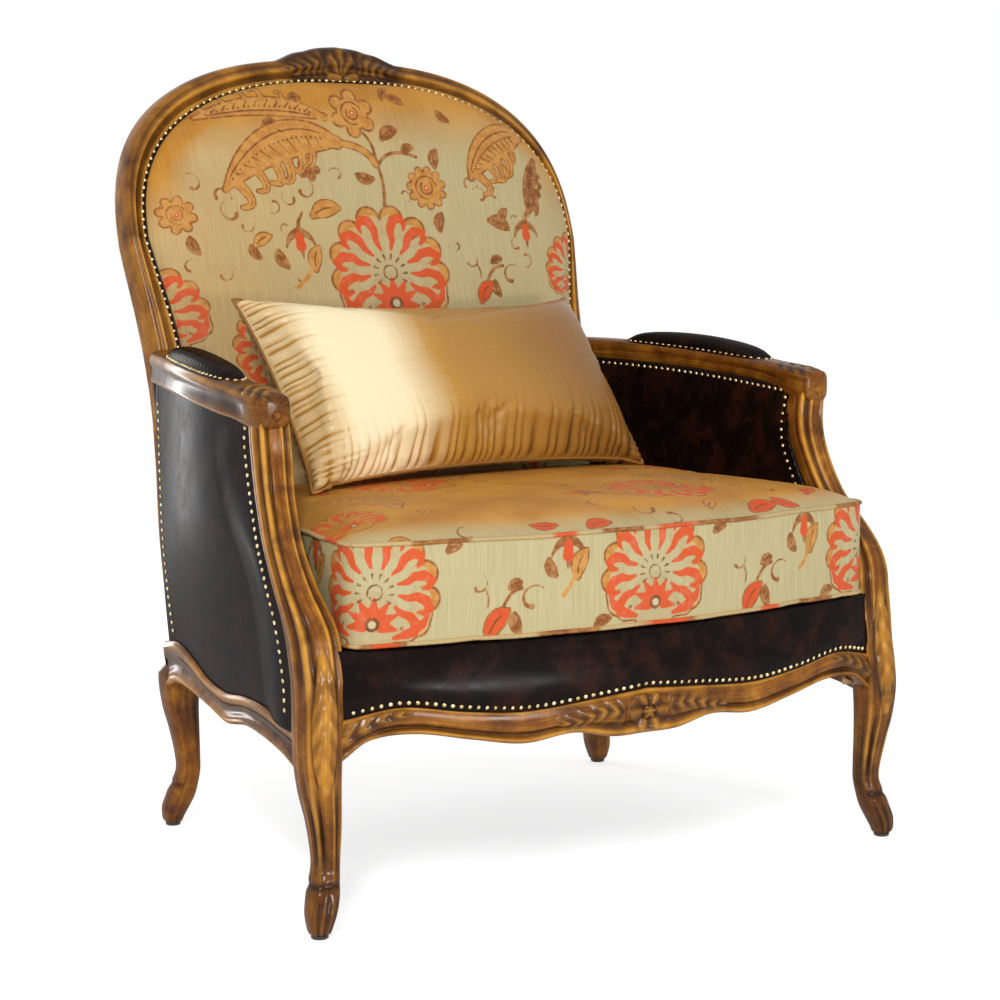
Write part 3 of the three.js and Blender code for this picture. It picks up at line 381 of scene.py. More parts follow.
def objectPlace(tree, scale=(1, 1, 1)):
    place = addNode(tree, "TexCoord").outputs["Object"]
    return addNode(tree, "Mapping", {"Vector": place, "Scale": scale}).outputs[0]


def uvPlace(tree, scale=(1, 1, 1)):
    place = addNode(tree, "UVMap", uv_map="UVMap").outputs[0]
    return addNode(tree, "Mapping", {"Vector": place, "Scale": scale}).outputs[0]


def noise(tree, place, scale, detail=3.0, rough=0.5, twist=0.0):
    return addNode(tree, "TexNoise", {"Vector": place, "Scale": scale, "Detail": detail,
                                      "Roughness": rough, "Distortion": twist}).outputs[0]


def calculate(tree, operation, a, b=0.0, c=0.0):
    made = addNode(tree, "Math", operation=operation)
    feed(tree, made.inputs, (a, b, c))
    return made.outputs[0]


def times(tree, a, b):
    return calculate(tree, "MULTIPLY", a, b)


def plus(tree, a, b):
    return calculate(tree, "ADD", a, b)


def fieldOf(tree, name):
    return addNode(tree, "Attribute", attribute_name=name).outputs["Fac"]


# A value carried from one range to another, smooth at both ends.
def spread(tree, value, low, high, toLow=0.0, toHigh=1.0):
    return addNode(tree, "MapRange", {"Value": value, "From Min": low, "From Max": high,
                                      "To Min": toLow, "To Max": toHigh},
                   interpolation_type="SMOOTHSTEP").outputs[0]


def ramp(tree, value, stops):
    made = addNode(tree, "ValToRGB", {"Fac": value})
    elements = made.color_ramp.elements
    while len(elements) < len(stops):
        elements.new(0.5)
    for element, (place, tone) in zip(elements, stops):
        element.position = place
        element.color = tone
    return made.outputs[0]


def blendColour(tree, share, a, b):
    made = addNode(tree, "Mix", data_type="RGBA", blend_type="MIX")
    feed(tree, (made.inputs[0], made.inputs[6], made.inputs[7]), (share, a, b))
    return made.outputs[2]


# Antique walnut: streaked along the grain, darker patches of old polish, painted shade that makes
# it nearly black in the hollows, and ridges rubbed golden, partly wear and partly a painted
# highlight.
def walnutFinish():
    # hollow is the painted shade's colour; rubbed is the colour of the worn and highlit ridges
    look = {"dark": colour(58, 26, 6), "middle": colour(128, 74, 16),
            "light": colour(184, 122, 36), "hollow": colour(32, 12, 3),
            "rubbedAndHighlit": colour(222, 158, 58), "grainLong": 9.0, "grainFine": 230.0}
    material, tree, shader = startMaterial("walnut", {
        "Coat Weight": 0.36, "Roughness": 0.6, "Specular IOR Level": 0.02})
    grain = noise(tree, uvPlace(tree, (look["grainLong"], look["grainFine"], 1)), 1.0, 5, 0.6, 0.5)
    patch = noise(tree, objectPlace(tree), 17.0, 6, 0.62, 0.4)
    fleck = noise(tree, objectPlace(tree), 150.0, 3, 0.6)
    tone = plus(tree, times(tree, grain, 0.40), times(tree, patch, 0.70))
    wood = ramp(tree, tone, [(0.38, look["dark"]), (0.55, look["middle"]), (0.72, look["light"])])
    wood = blendColour(tree, spread(tree, fleck, 0.60, 0.74, 0.0, 0.55), wood, look["dark"])
    # ridges rubbed golden: partly wear, partly a painted highlight on the beads and carving
    ridge = times(tree, fieldOf(tree, "ridge"), spread(tree, patch, 0.3, 0.6, 0.25, 0.85))
    wood = blendColour(tree, ridge, wood, look["rubbedAndHighlit"])
    # painted shade: the hollow colour, close to black, wherever the shade field marks hollows and
    # shaded places
    wood = blendColour(tree, times(tree, fieldOf(tree, "recess"), 0.9), wood, look["hollow"])
    polish = spread(tree, patch, 0.3, 0.7, 0.10, 0.24)
    tree.links.new(polish, shader.inputs["Coat Roughness"])
    dress(tree, shader, wood, plus(tree, grain, fleck), 0.35, 0.0004)
    return material


# Polished leather: very dark brown, mottled red-brown, with a fine pebbled grain. The coat alone
# mirrors, so that it doesn't turn white where it is seen along its surface.
def leatherFinish():
    look = {"dark": colour(14, 7, 5), "worn": colour(48, 22, 12), "cell": 950.0}
    material, tree, shader = startMaterial("leather", {
        "Roughness": 0.7, "Specular IOR Level": 0.0, "Coat Weight": 0.17})
    place = objectPlace(tree)
    mottle = noise(tree, place, 26.0, 5, 0.65, 0.3)
    pebble = addNode(tree, "TexVoronoi", {"Vector": place, "Scale": look["cell"]}).outputs[0]
    soft = noise(tree, place, 9.0, 2)
    tone = blendColour(tree, spread(tree, mottle, 0.42, 0.72, 0, 0.85), look["dark"], look["worn"])
    polish = spread(tree, mottle, 0.3, 0.7, 0.20, 0.30)
    tree.links.new(polish, shader.inputs["Coat Roughness"])
    height = plus(tree, times(tree, pebble, 0.35), times(tree, soft, 6.0))
    dress(tree, shader, tone, height, 0.3, 0.0006)
    return material


# Coloured threads in the order in which they lie over each other; halo bares the ground again.
threads = ("copper", "tan", "halo", "coral", "vein", "cream")
bare = -0.008   # field of a layer where no stroke is near


# Satin brocade: a ribbed sage ground with a painted sheen of old gold where the satin catches the
# light, and over it the pattern's threads, layer on layer, each where its field is above 0.
def brocadeFinish():
    look = {"sage": colour(199, 187, 143), "shade": colour(186, 173, 127),
            "gold": colour(208, 142, 42), "goldShade": colour(184, 120, 30),
            "copper": (colour(172, 110, 54), colour(136, 82, 40)),
            "tan": (colour(214, 156, 80), colour(192, 130, 62)),
            "coral": (colour(222, 70, 34), colour(212, 92, 44)),
            "vein": (colour(138, 84, 46), colour(116, 68, 36)),
            "cream": (colour(216, 206, 170), colour(202, 188, 142)),
            "rib": 620.0, "edge": 0.0006}
    material, tree, shader = startMaterial("brocade", {
        "Roughness": 0.5, "Sheen Weight": 0.05, "Sheen Roughness": 0.4,
        "Sheen Tint": colour(226, 196, 132), "Specular IOR Level": 0.16})
    streak = noise(tree, uvPlace(tree, (850, 14, 1)), 1.0, 2, 0.6)
    weft = noise(tree, uvPlace(tree, (60, 1300, 1)), 1.0, 2, 0.5)
    broad = noise(tree, uvPlace(tree, (9, 9, 1)), 1.0, 3)
    rib = addNode(tree, "TexWave", {"Vector": uvPlace(tree), "Scale": look["rib"],
                                    "Distortion": 0.6, "Detail": 1.0}).outputs["Fac"]
    thin = spread(tree, streak, 0.35, 0.65)
    sage = blendColour(tree, thin, look["sage"], look["shade"])
    # gold is a painted sheen, laid over the ground as far as the sheen field reaches
    gold = blendColour(tree, spread(tree, broad, 0.35, 0.65), look["gold"], look["goldShade"])
    gilt = times(tree, fieldOf(tree, "gilt"), spread(tree, streak, 0.2, 0.7, 0.8, 1.0))
    cloth = ground = blendColour(tree, gilt, sage, gold)
    jitter = calculate(tree, "MULTIPLY_ADD", weft, 0.0018, -0.0009)
    blotch = noise(tree, uvPlace(tree, (70, 70, 1)), 1.0, 4, 0.7)
    worn = spread(tree, blotch, 0.32, 0.56, 0.72, 1.0)
    for layer in threads:
        edge = plus(tree, fieldOf(tree, layer), jitter)
        inside = spread(tree, edge, -look["edge"], look["edge"])
        if layer == "halo":
            cloth = blendColour(tree, times(tree, inside, 0.85), cloth, ground)
            continue
        tone = blendColour(tree, spread(tree, blotch, 0.40, 0.60), *look[layer])
        cloth = blendColour(tree, times(tree, inside, worn), cloth, tone)
    cloth = blendColour(tree, times(tree, rib, 0.08), cloth, look["vein"][0])
    dress(tree, shader, cloth, plus(tree, rib, times(tree, weft, 0.8)), 0.22, 0.0003)
    return material


# Gold silk satin: smooth, with fine lengthwise threads, a painted highlight pale towards the left
# and deep gold to the right, and painted shade in the valleys of its folds.
def silkFinish():
    # pale is the painted highlight's colour, fold that of the painted shade in the folds, deep
    # mostly the painted shade to the right
    look = {"gold": colour(190, 140, 60), "paintedHighlight": colour(252, 234, 190),
            "deep": colour(144, 98, 40), "fold": colour(92, 60, 26)}
    material, tree, shader = startMaterial("silk", {
        "Roughness": 0.34, "Sheen Weight": 0.1, "Sheen Roughness": 0.3,
        "Sheen Tint": colour(240, 214, 160), "Specular IOR Level": 0.30})
    warp = noise(tree, uvPlace(tree, (700, 10, 1)), 1.0, 3, 0.6)
    weft = noise(tree, uvPlace(tree, (12, 900, 1)), 1.0, 3, 0.6)
    broad = noise(tree, uvPlace(tree, (3.0, 5.0, 1)), 1.0, 2, 0.5, 0.4)
    along = addNode(tree, "SeparateXYZ", {"Vector": uvPlace(tree)}).outputs["X"]
    # painted highlight and shade along the pillow: a pale band near the left, deep gold to the
    # right, darker at the left seam
    paintedLight = plus(tree, spread(tree, along, -0.20, 0.0, 0.86, 0.42),
                 spread(tree, along, -0.02, 0.27, 0.0, -0.18))
    paintedLight = calculate(tree, "SUBTRACT", paintedLight, spread(tree, along, -0.19, -0.27, 0.0, 0.26))
    fine = plus(tree, times(tree, warp, 0.12),
                calculate(tree, "MULTIPLY_ADD", weft, 0.12, times(tree, broad, 0.2)))
    tone = plus(tree, paintedLight, calculate(tree, "SUBTRACT", fine, 0.22))
    # painted shade in the folds' valleys
    tone = calculate(tree, "SUBTRACT", tone, times(tree, fieldOf(tree, "fold"), 0.34))
    tone = ramp(tree, tone, [(0.04, look["fold"]), (0.24, look["deep"]), (0.50, look["gold"]),
                             (0.76, look["paintedHighlight"])])
    dress(tree, shader, tone, plus(tree, warp, times(tree, weft, 0.7)), 0.12, 0.0002)
    return material


# Pale brass, a little dulled between the polished heads.
def brassFinish():
    material, tree, shader = startMaterial("brass", {"Metallic": 1.0})
    dull = noise(tree, objectPlace(tree), 130.0, 3)
    tone = ramp(tree, dull, [(0.35, colour(176, 148, 92)), (0.65, colour(236, 222, 176))])
    tree.links.new(tone, shader.inputs["Base Color"])
    tree.links.new(spread(tree, dull, 0.3, 0.7, 0.18, 0.36), shader.inputs["Roughness"])
    return material


# Plain cloth woven of two crossing threads.
def clothFinish(name, thread, shade, pitch):
    material, tree, shader = startMaterial(name, {"Roughness": 0.9, "Sheen Weight": 0.15})
    place = objectPlace(tree)
    warp, weft = (addNode(tree, "TexWave", {"Vector": place, "Scale": pitch, "Distortion": 1.0},
                          bands_direction=way).outputs["Fac"] for way in "XY")
    weave = times(tree, warp, weft)
    tone = blendColour(tree, times(tree, weave, noise(tree, place, 60.0, 4)), shade, thread)
    dress(tree, shader, tone, weave, 0.3, 0.0003)
    return material


# Unpolished beech: straight grain and short darker flecks.
def beechFinish():
    material, tree, shader = startMaterial("beech", {"Roughness": 0.7})
    grain = noise(tree, objectPlace(tree, (8, 120, 120)), 1.0, 4, 0.6)
    fleck = noise(tree, objectPlace(tree, (60, 700, 700)), 1.0, 2)
    tone = ramp(tree, grain, [(0.3, colour(176, 138, 94)), (0.7, colour(208, 174, 128))])
    tone = blendColour(tree, spread(tree, fleck, 0.62, 0.7, 0, 0.6), tone, colour(132, 92, 58))
    dress(tree, shader, tone, grain, 0.2, 0.0003)
    return material


# Drawn wire and moulded nylon: fine scratches or a faint pebble over one tone.
def plainFinish(name, tone, shade, look, scale):
    material, tree, shader = startMaterial(name, look)
    fine = noise(tree, objectPlace(tree), scale, 4)
    dress(tree, shader, blendColour(tree, fine, tone, shade), fine, 0.15, 0.0002)
    return material


walnut = walnutFinish()
leather = leatherFinish()
brocade = brocadeFinish()
silk = silkFinish()
brass = brassFinish()
beech = beechFinish()
jute = clothFinish("jute", colour(190, 164, 112), colour(132, 106, 66), 900.0)
cambric = clothFinish("cambric", colour(38, 37, 36), colour(18, 18, 18), 1500.0)
steel = plainFinish("springSteel", colour(150, 152, 155), colour(96, 98, 102),
                    {"Metallic": 1.0, "Roughness": 0.35}, 400.0)
nylon = plainFinish("nylon", colour(62, 54, 46), colour(44, 38, 33), {"Roughness": 0.5}, 300.0)
print("finishes made")


# Camera, light and stage

view = {"place": (-1.67474, -2.35311 + footLine, 0.82856), "pitch": -6.78, "turn": -32.40,
        "lens": 84.50}
light = {"sky": 0.50, "key": 60.0, "side": 17.0, "front": 17.0, "floor": 0.66}


def addCamera():
    lens = bpy.data.cameras.new("camera")
    lens.lens, lens.sensor_width = view["lens"], 36
    camera = bpy.data.objects.new("camera", lens)
    camera.location = view["place"]
    camera.rotation_euler = (math.radians(90 + view["pitch"]), 0, math.radians(view["turn"]))
    scene.collection.objects.link(camera)
    scene.camera = camera


# 1 for what the camera sees straight, in a reflection or through glass, else 0.
def seenRays(tree):
    path = addNode(tree, "LightPath")
    seen = calculate(tree, "MAXIMUM", path.outputs["Is Camera Ray"], path.outputs["Is Glossy Ray"])
    return calculate(tree, "MAXIMUM", seen, path.outputs["Is Transmission Ray"])


# Even pale room light, white where it is seen.
def addSky():
    world = bpy.data.worlds.new("studio")
    world.use_nodes = True
    tree = world.node_tree
    tree.nodes.clear()
    strength = calculate(tree, "MAXIMUM", seenRays(tree), light["sky"])
    sky = addNode(tree, "Background", {"Color": (1, 1, 1, 1), "Strength": strength})
    addNode(tree, "OutputWorld", {"Surface": sky.outputs[0]})
    scene.world = world


def addLamp(name, place, aim, size, power):
    lamp = bpy.data.lights.new(name, "AREA")
    lamp.shape, lamp.size, lamp.size_y, lamp.energy = "RECTANGLE", size[0], size[1], power
    made = bpy.data.objects.new(name, lamp)
    made.location = place
    made.rotation_euler = (Vector(aim) - Vector(place)).to_track_quat("-Z", "Y").to_euler()
    scene.collection.objects.link(made)


# Floor: white to the camera, pale where it bounces light, darker where a shadow falls.
def addFloor():
    material, tree, shader = startMaterial("floor", {
        "Roughness": 0.9, "Specular IOR Level": 0.0, "Base Color": (0.80, 0.80, 0.80, 1),
        "Emission Color": (1, 1, 1, 1)})
    glow = times(tree, seenRays(tree), light["floor"])
    tree.links.new(glow, shader.inputs["Emission Strength"])
    mesh = bpy.data.meshes.new("floor")
    size = 12
    mesh.from_pydata([(-size, -size, 0), (size, -size, 0), (size, size, 0), (-size, size, 0)],
                     [], [(0, 1, 2, 3)])
    mesh.materials.append(material)
    floor = bpy.data.objects.new("floor", mesh)
    scene.collection.objects.link(floor)


scene.view_settings.view_transform = "Standard"
addCamera()
addSky()
addLamp("key", (-2.0, -2.6, 2.2), (0, 0, 0.5), (0.5, 0.8), light["key"])
addLamp("side", (-0.60, 2.9, 0.7), (-0.45, 0.3, 0.4), (0.34, 1.4), light["side"])
addLamp("front", (0.42, -2.9, 0.55), (-0.2, -0.3, 0.3), (0.8, 0.25), light["front"])
addFloor()
print("camera, light and stage made")


# Lines of the frame

rails = {"top": 0.252, "deep": 0.042, "wave": 0.020, "thick": 0.028, "bow": 0.055,
         "setback": 0.004, "sideReach": 0.0154}
back = {"faceY": 0.6107, "faceZ": 0.700, "rake": 17.4, "bend": 0.600, "footBend": 0.061,
        "depth": 0.050, "spring": 0.804, "waist": 0.650, "seatHalf": 0.316, "waistHalf": 0.322,
        "innerHalf": 0.347, "outerWaist": 0.357, "outerHalf": 0.370, "innerRise": 0.225,
        "outerRise": 0.266, "power": 2.46, "outerPower": 2.62, "crestRise": 0.020,
        "crestHalf": 0.100, "crestForward": 0.006}
arms = {"frontY": 0.126, "backY": 0.592, "frontHalf": 0.414, "backHalf": 0.345, "flare": 0.016,
        "top": 0.627, "rise": 0.027, "deep": 0.031, "apron": 0.018, "halfWide": 0.025,
        "knuckle": -0.002, "power": 3.6}
seat = {"deckTop": 0.334, "deckThick": 0.026}
rake = math.radians(back["rake"])
backward = np.array([0, math.cos(rake), -math.sin(rake)])
postBend = [[0, 0], [0.25, 0.37], [0.46, 0.62], [0.68, 0.73], [0.88, 0.87], [1, 1]]
crestTable = [[0, 1], [0.3, 0.88], [0.5, 0.66], [0.68, 0.52], [0.86, 0.2], [1, 0]]
knuckleTable = [[0, 0.35], [0.008, 0.7], [0.022, 0.92], [0.045, 1], [0.08, 1.02], [0.12, 1],
                [0.18, 0.97], [0.26, 1]]
frontTop = [[0, 0.4], [0.18, 0.12], [0.43, -0.22], [0.62, 0.1], [0.83, 0.68], [1, 0.1]]
frontLow = [[0, -0.4], [0.12, -0.38], [0.26, 0.15], [0.43, -0.15], [0.6, 0.4], [0.78, 1.05],
            [0.92, 0.85], [1, -0.25]]
sideTop = [[0, -0.6], [0.13, -0.5], [0.25, -0.25], [0.38, -0.35], [0.52, -0.78],
           [0.66, -0.55], [0.79, 0.3], [0.9, 0.75], [1, 0.4]]
sideLow = [[0, -0.9], [0.1, -0.3], [0.25, 0.05], [0.36, 0.05], [0.5, -0.5], [0.64, -0.15],
           [0.8, 0.15], [0.92, 0], [1, -0.9]]


def column(table, i):
    return [[row[0], row[i]] for row in table]


# The front post's centre and half section at heights: x outward, y backward.
def frontPostLine(z):
    leg, top = z / legs["height"], (z - legs["height"]) / support["height"]
    low = z < legs["height"]
    pick = [np.where(low, smoothAt(column(legTable, i), leg),
                     smoothAt(column(supportTable, i), top)) for i in (1, 2, 3)]
    x = feet["frontHalf"] + pick[0] * np.where(low, legs["reach"], support["reach"])
    y = pick[1] * np.where(low, legs["reach"], support["sweep"])
    return x, y, pick[2] * legs["block"]


def armShare(y):
    return np.clip((y - arms["frontY"]) / (arms["backY"] - arms["frontY"]), 0, 1)


# The arm's centre line: its taper to the back plus a bow of one half sine.
def armLine(s):
    x = mix(arms["frontHalf"], arms["backHalf"], s**1.15) + arms["flare"] * np.sin(np.pi * s)
    y = mix(arms["frontY"], arms["backY"], s)
    z = arms["top"] - arms["deep"] / 2 + arms["rise"] * np.sin(np.pi * s / 2)
    return x, y, z


# Underside of the arm rail at a distance back.
def armLow(y):
    return armLine(armShare(y))[2] - arms["deep"] / 2


def innerArmX(y):
    return armLine(armShare(y))[0] - arms["halfWide"]


# Front face of the back: a raked plane above the bend, curving forward below it.
def backFace(z):
    z = np.asarray(z, float)
    plane = back["faceY"] + math.tan(rake) * (z - back["faceZ"])
    bendY = back["faceY"] + math.tan(rake) * (back["bend"] - back["faceZ"])
    share = (z - rails["top"]) / (back["bend"] - rails["top"])
    return np.where(z >= back["bend"], plane,
                    bendY - back["footBend"] * (1 - smoothAt(postBend, share)))


def backNormal(z):
    slope = (backFace(z + 0.025) - backFace(z - 0.025)) / 0.05
    return unit(gridOf(0.0, 1.0, -slope))


def backInner(z):
    return smoothAt([[rails["top"], back["seatHalf"]], [back["waist"], back["waistHalf"]],
                     [back["spring"], back["innerHalf"]]], z)


def backOuter(z):
    return smoothAt([[rails["top"], back["outerWaist"]], [back["waist"], back["outerWaist"]],
                     [back["spring"], back["outerHalf"]]], z)


# Superellipse of the arch at angles from its right spring line.
def archPoint(half, rise, power, angle, lift=0.0):
    cos, sin = np.cos(angle), np.sin(angle)
    x = half * np.sign(cos) * np.abs(cos) ** (2 / power)
    z = back["spring"] + rise * np.abs(sin) ** (2 / power) + lift
    return gridOf(x, backFace(z), z)


# The arch's inner edge, moved outward by inset, and its outer edge, raised by lift.
def innerArch(angle, inset=0.0):
    return archPoint(back["innerHalf"] + inset, back["innerRise"] + inset, back["power"], angle)


def outerArch(angle, lift=0.0):
    return archPoint(back["outerHalf"], back["outerRise"], back["outerPower"], angle, lift)


# Half width inside the arch and the posts at a height.
def openingHalf(z):
    share = np.clip((z - back["spring"]) / back["innerRise"], 0, 1)
    arch = back["innerHalf"] * (1 - share ** back["power"]) ** (1 / back["power"])
    return np.where(z <= back["spring"], backInner(z), arch)


def frontRailY(x):
    return rails["setback"] - rails["bow"] * (1 - (x / feet["frontHalf"]) ** 2)


def frontEdge(table, level, x):
    return level + rails["wave"] * smoothAt(table, np.abs(x) / (feet["frontHalf"] - legs["block"]))


def sideLine(s):
    x = mix(feet["frontHalf"], feet["rearHalf"], s) + rails["sideReach"]
    return x, mix(legs["reach"], feet["span"] - legs["reach"] / 2, s)


def sideTopAt(s):
    return rails["top"] + rails["wave"] * smoothAt(sideTop, s)


# Front posts

# Heights of a post's rings, the lowest two close together to ease the foot's edge.
def postLevels(top, count):
    low = legs["bottom"]
    return np.concatenate([[low, low + 0.0012], np.linspace(low + 0.003, top, count)])


# Leg and arm support of one side in one sweep: rounded squares at rising heights, hollowed
# between beads, with a leaf carved on the knee.
def frontPost():
    z = postLevels(legs["height"] + support["height"] + 0.002, 270)
    x, y, half = frontPostLine(z)
    half[:2] *= legs["eased"]
    z2 = z[:, None]
    u2, v2 = roundedSquare(132, legs["power"]).T[:, None]
    front, outer, inner = (rise(0.5, 0.85, side) for side in (-v2, u2, -u2))
    ankle = rise(0.13, 0.20, z2) * (1 - rise(0.26, 0.32, z2))
    body = rise(0.05, 0.12, z2) * (1 - 0.7 * ankle)
    # two hollows beside a bead down the front, one down the outer face, one down the inner
    hollow = body * (front * (bump((u2 + 0.56) / 0.17) + bump((u2 - 0.60) / 0.16))
                     + 0.9 * outer * bump((v2 + 0.42) / 0.24)
                     + 0.6 * inner * bump((v2 + 0.30) / 0.26))
    bead = body * (front * (bump((u2 + 0.26) / 0.11) + bump((u2 + 0.86) / 0.12)
                            + bump((u2 - 0.86) / 0.12))
                   + outer * (bump((v2 + 0.82) / 0.14) + 0.8 * bump((v2 + 0.02) / 0.14))
                   + 0.7 * inner * bump((v2 + 0.72) / 0.16))
    # the knee's leaf: lobes down its middle rib, its outline narrowing to a tip below
    t = np.clip((z2 - legs["leafLow"]) / (legs["leafHigh"] - legs["leafLow"]), 0, 1)
    reach = 0.10 + 0.62 * np.sin(np.pi * t**0.8) ** 0.8
    around = np.abs(np.where(v2 < 0.6, np.abs(u2 - 0.12) + np.maximum(v2 + 0.92, 0) * 0.9, 9))
    inLeaf = rise(0, 0.16, reach - around) * rise(0, 0.06, t) * (1 - rise(0.9, 1, t))
    lobes = wave(z2 / 0.029 + around * 1.5)
    rib = bump(around / 0.16) * (0.55 + 0.45 * np.cos(2 * np.pi * z2 / 0.029))
    leaf = inLeaf * (0.35 * lobes * rise(0.12, 0.3, around) + 0.65 * rib)
    edge = bump((reach - around - 0.03) / 0.08) * rise(0.04, 0.12, t) * (1 - rise(0.86, 0.98, t))
    # collar and flutes of the scrolled foot
    collar = bump((z2 - 0.060) / 0.006) * np.maximum(front, outer)
    flutes = wave(u2 * 1.6) * (1 - rise(0.036, 0.056, z2)) * front
    relief = (legs["leafRelief"] * leaf + legs["bead"] * bead * (1 - inLeaf)
              - legs["coveDepth"] * hollow * (1 - 0.8 * inLeaf) - legs["collar"] * collar
              - legs["flutes"] * flutes - legs["leafEdge"] * edge)
    radius = half[:, None] + relief
    rings = gridOf(x[:, None] + radius * u2, y[:, None] + radius * v2, z2)
    # painted shade: dark in the hollows, the leaf's valleys, the grooves, collar and flutes, and
    # darker on the leg below the knee
    recess = np.clip(0.9 * hollow * (1 - 0.8 * inLeaf) + 0.5 * inLeaf * (1 - lobes)
                     * rise(0.15, 0.3, around) + 0.7 * edge + 0.8 * collar + 0.6 * flutes
                     + 0.34 * rise(0.21, 0.13, z2), 0, 1)
    # beads, and the leaf with its rib, rubbed golden: partly wear, partly a painted highlight
    ridge = np.clip(bead * (1 - inLeaf) + inLeaf * (0.45 + 0.5 * rib), 0, 1)
    return loftForm(rings, {"recess": recess, "ridge": ridge})


makePair("front_post", frontPost(), walnut, "front_leg", "arm_support")
print("front posts made")


# Back frame

moulding = {
    # inner edge 0 to outer edge 1, front 0 to back 1
    "profile": [[1, 0.72], [1, 0.9], [0.86, 1], [0.6, 1], [0.4, 1], [0.15, 1], [0, 0.85],
                [0, 0.6], [0, 0.35], [0, 0.14], [0.05, 0.03], [0.12, 0], [0.19, 0.03],
                [0.24, 0.12], [0.31, 0.165], [0.38, 0.11], [0.44, 0.05], [0.52, 0.04],
                [0.62, 0.10], [0.74, 0.12], [0.83, 0.16], [0.92, 0.3], [0.98, 0.52]],
    "points": 96,
    "rearKnee": 0.216,     # where the rear leg turns into the stile
    "shellDeep": 0.0055,
    "leafDeep": 0.0045,
    "gouge": 0.0022,       # round the rear foot
}


# The moulding's closed profile, smoothed through its points and cut into equal steps.
def mouldingSection():
    corner = np.array(moulding["profile"])
    count = len(corner)
    rows = np.concatenate([corner[-2:], corner, corner[:3]])
    place = np.arange(-2, count + 3)
    fine = np.linspace(0, count, 1200, endpoint=False)
    line = np.stack([smoothAt(np.stack([place, rows[:, i]], 1), fine) for i in (0, 1)], 1)
    line = np.concatenate([line, line[:1]])
    length = lengthsOf(line)
    at = np.linspace(0, length[-1], moulding["points"], endpoint=False)
    return valuesAt(at, length, line)


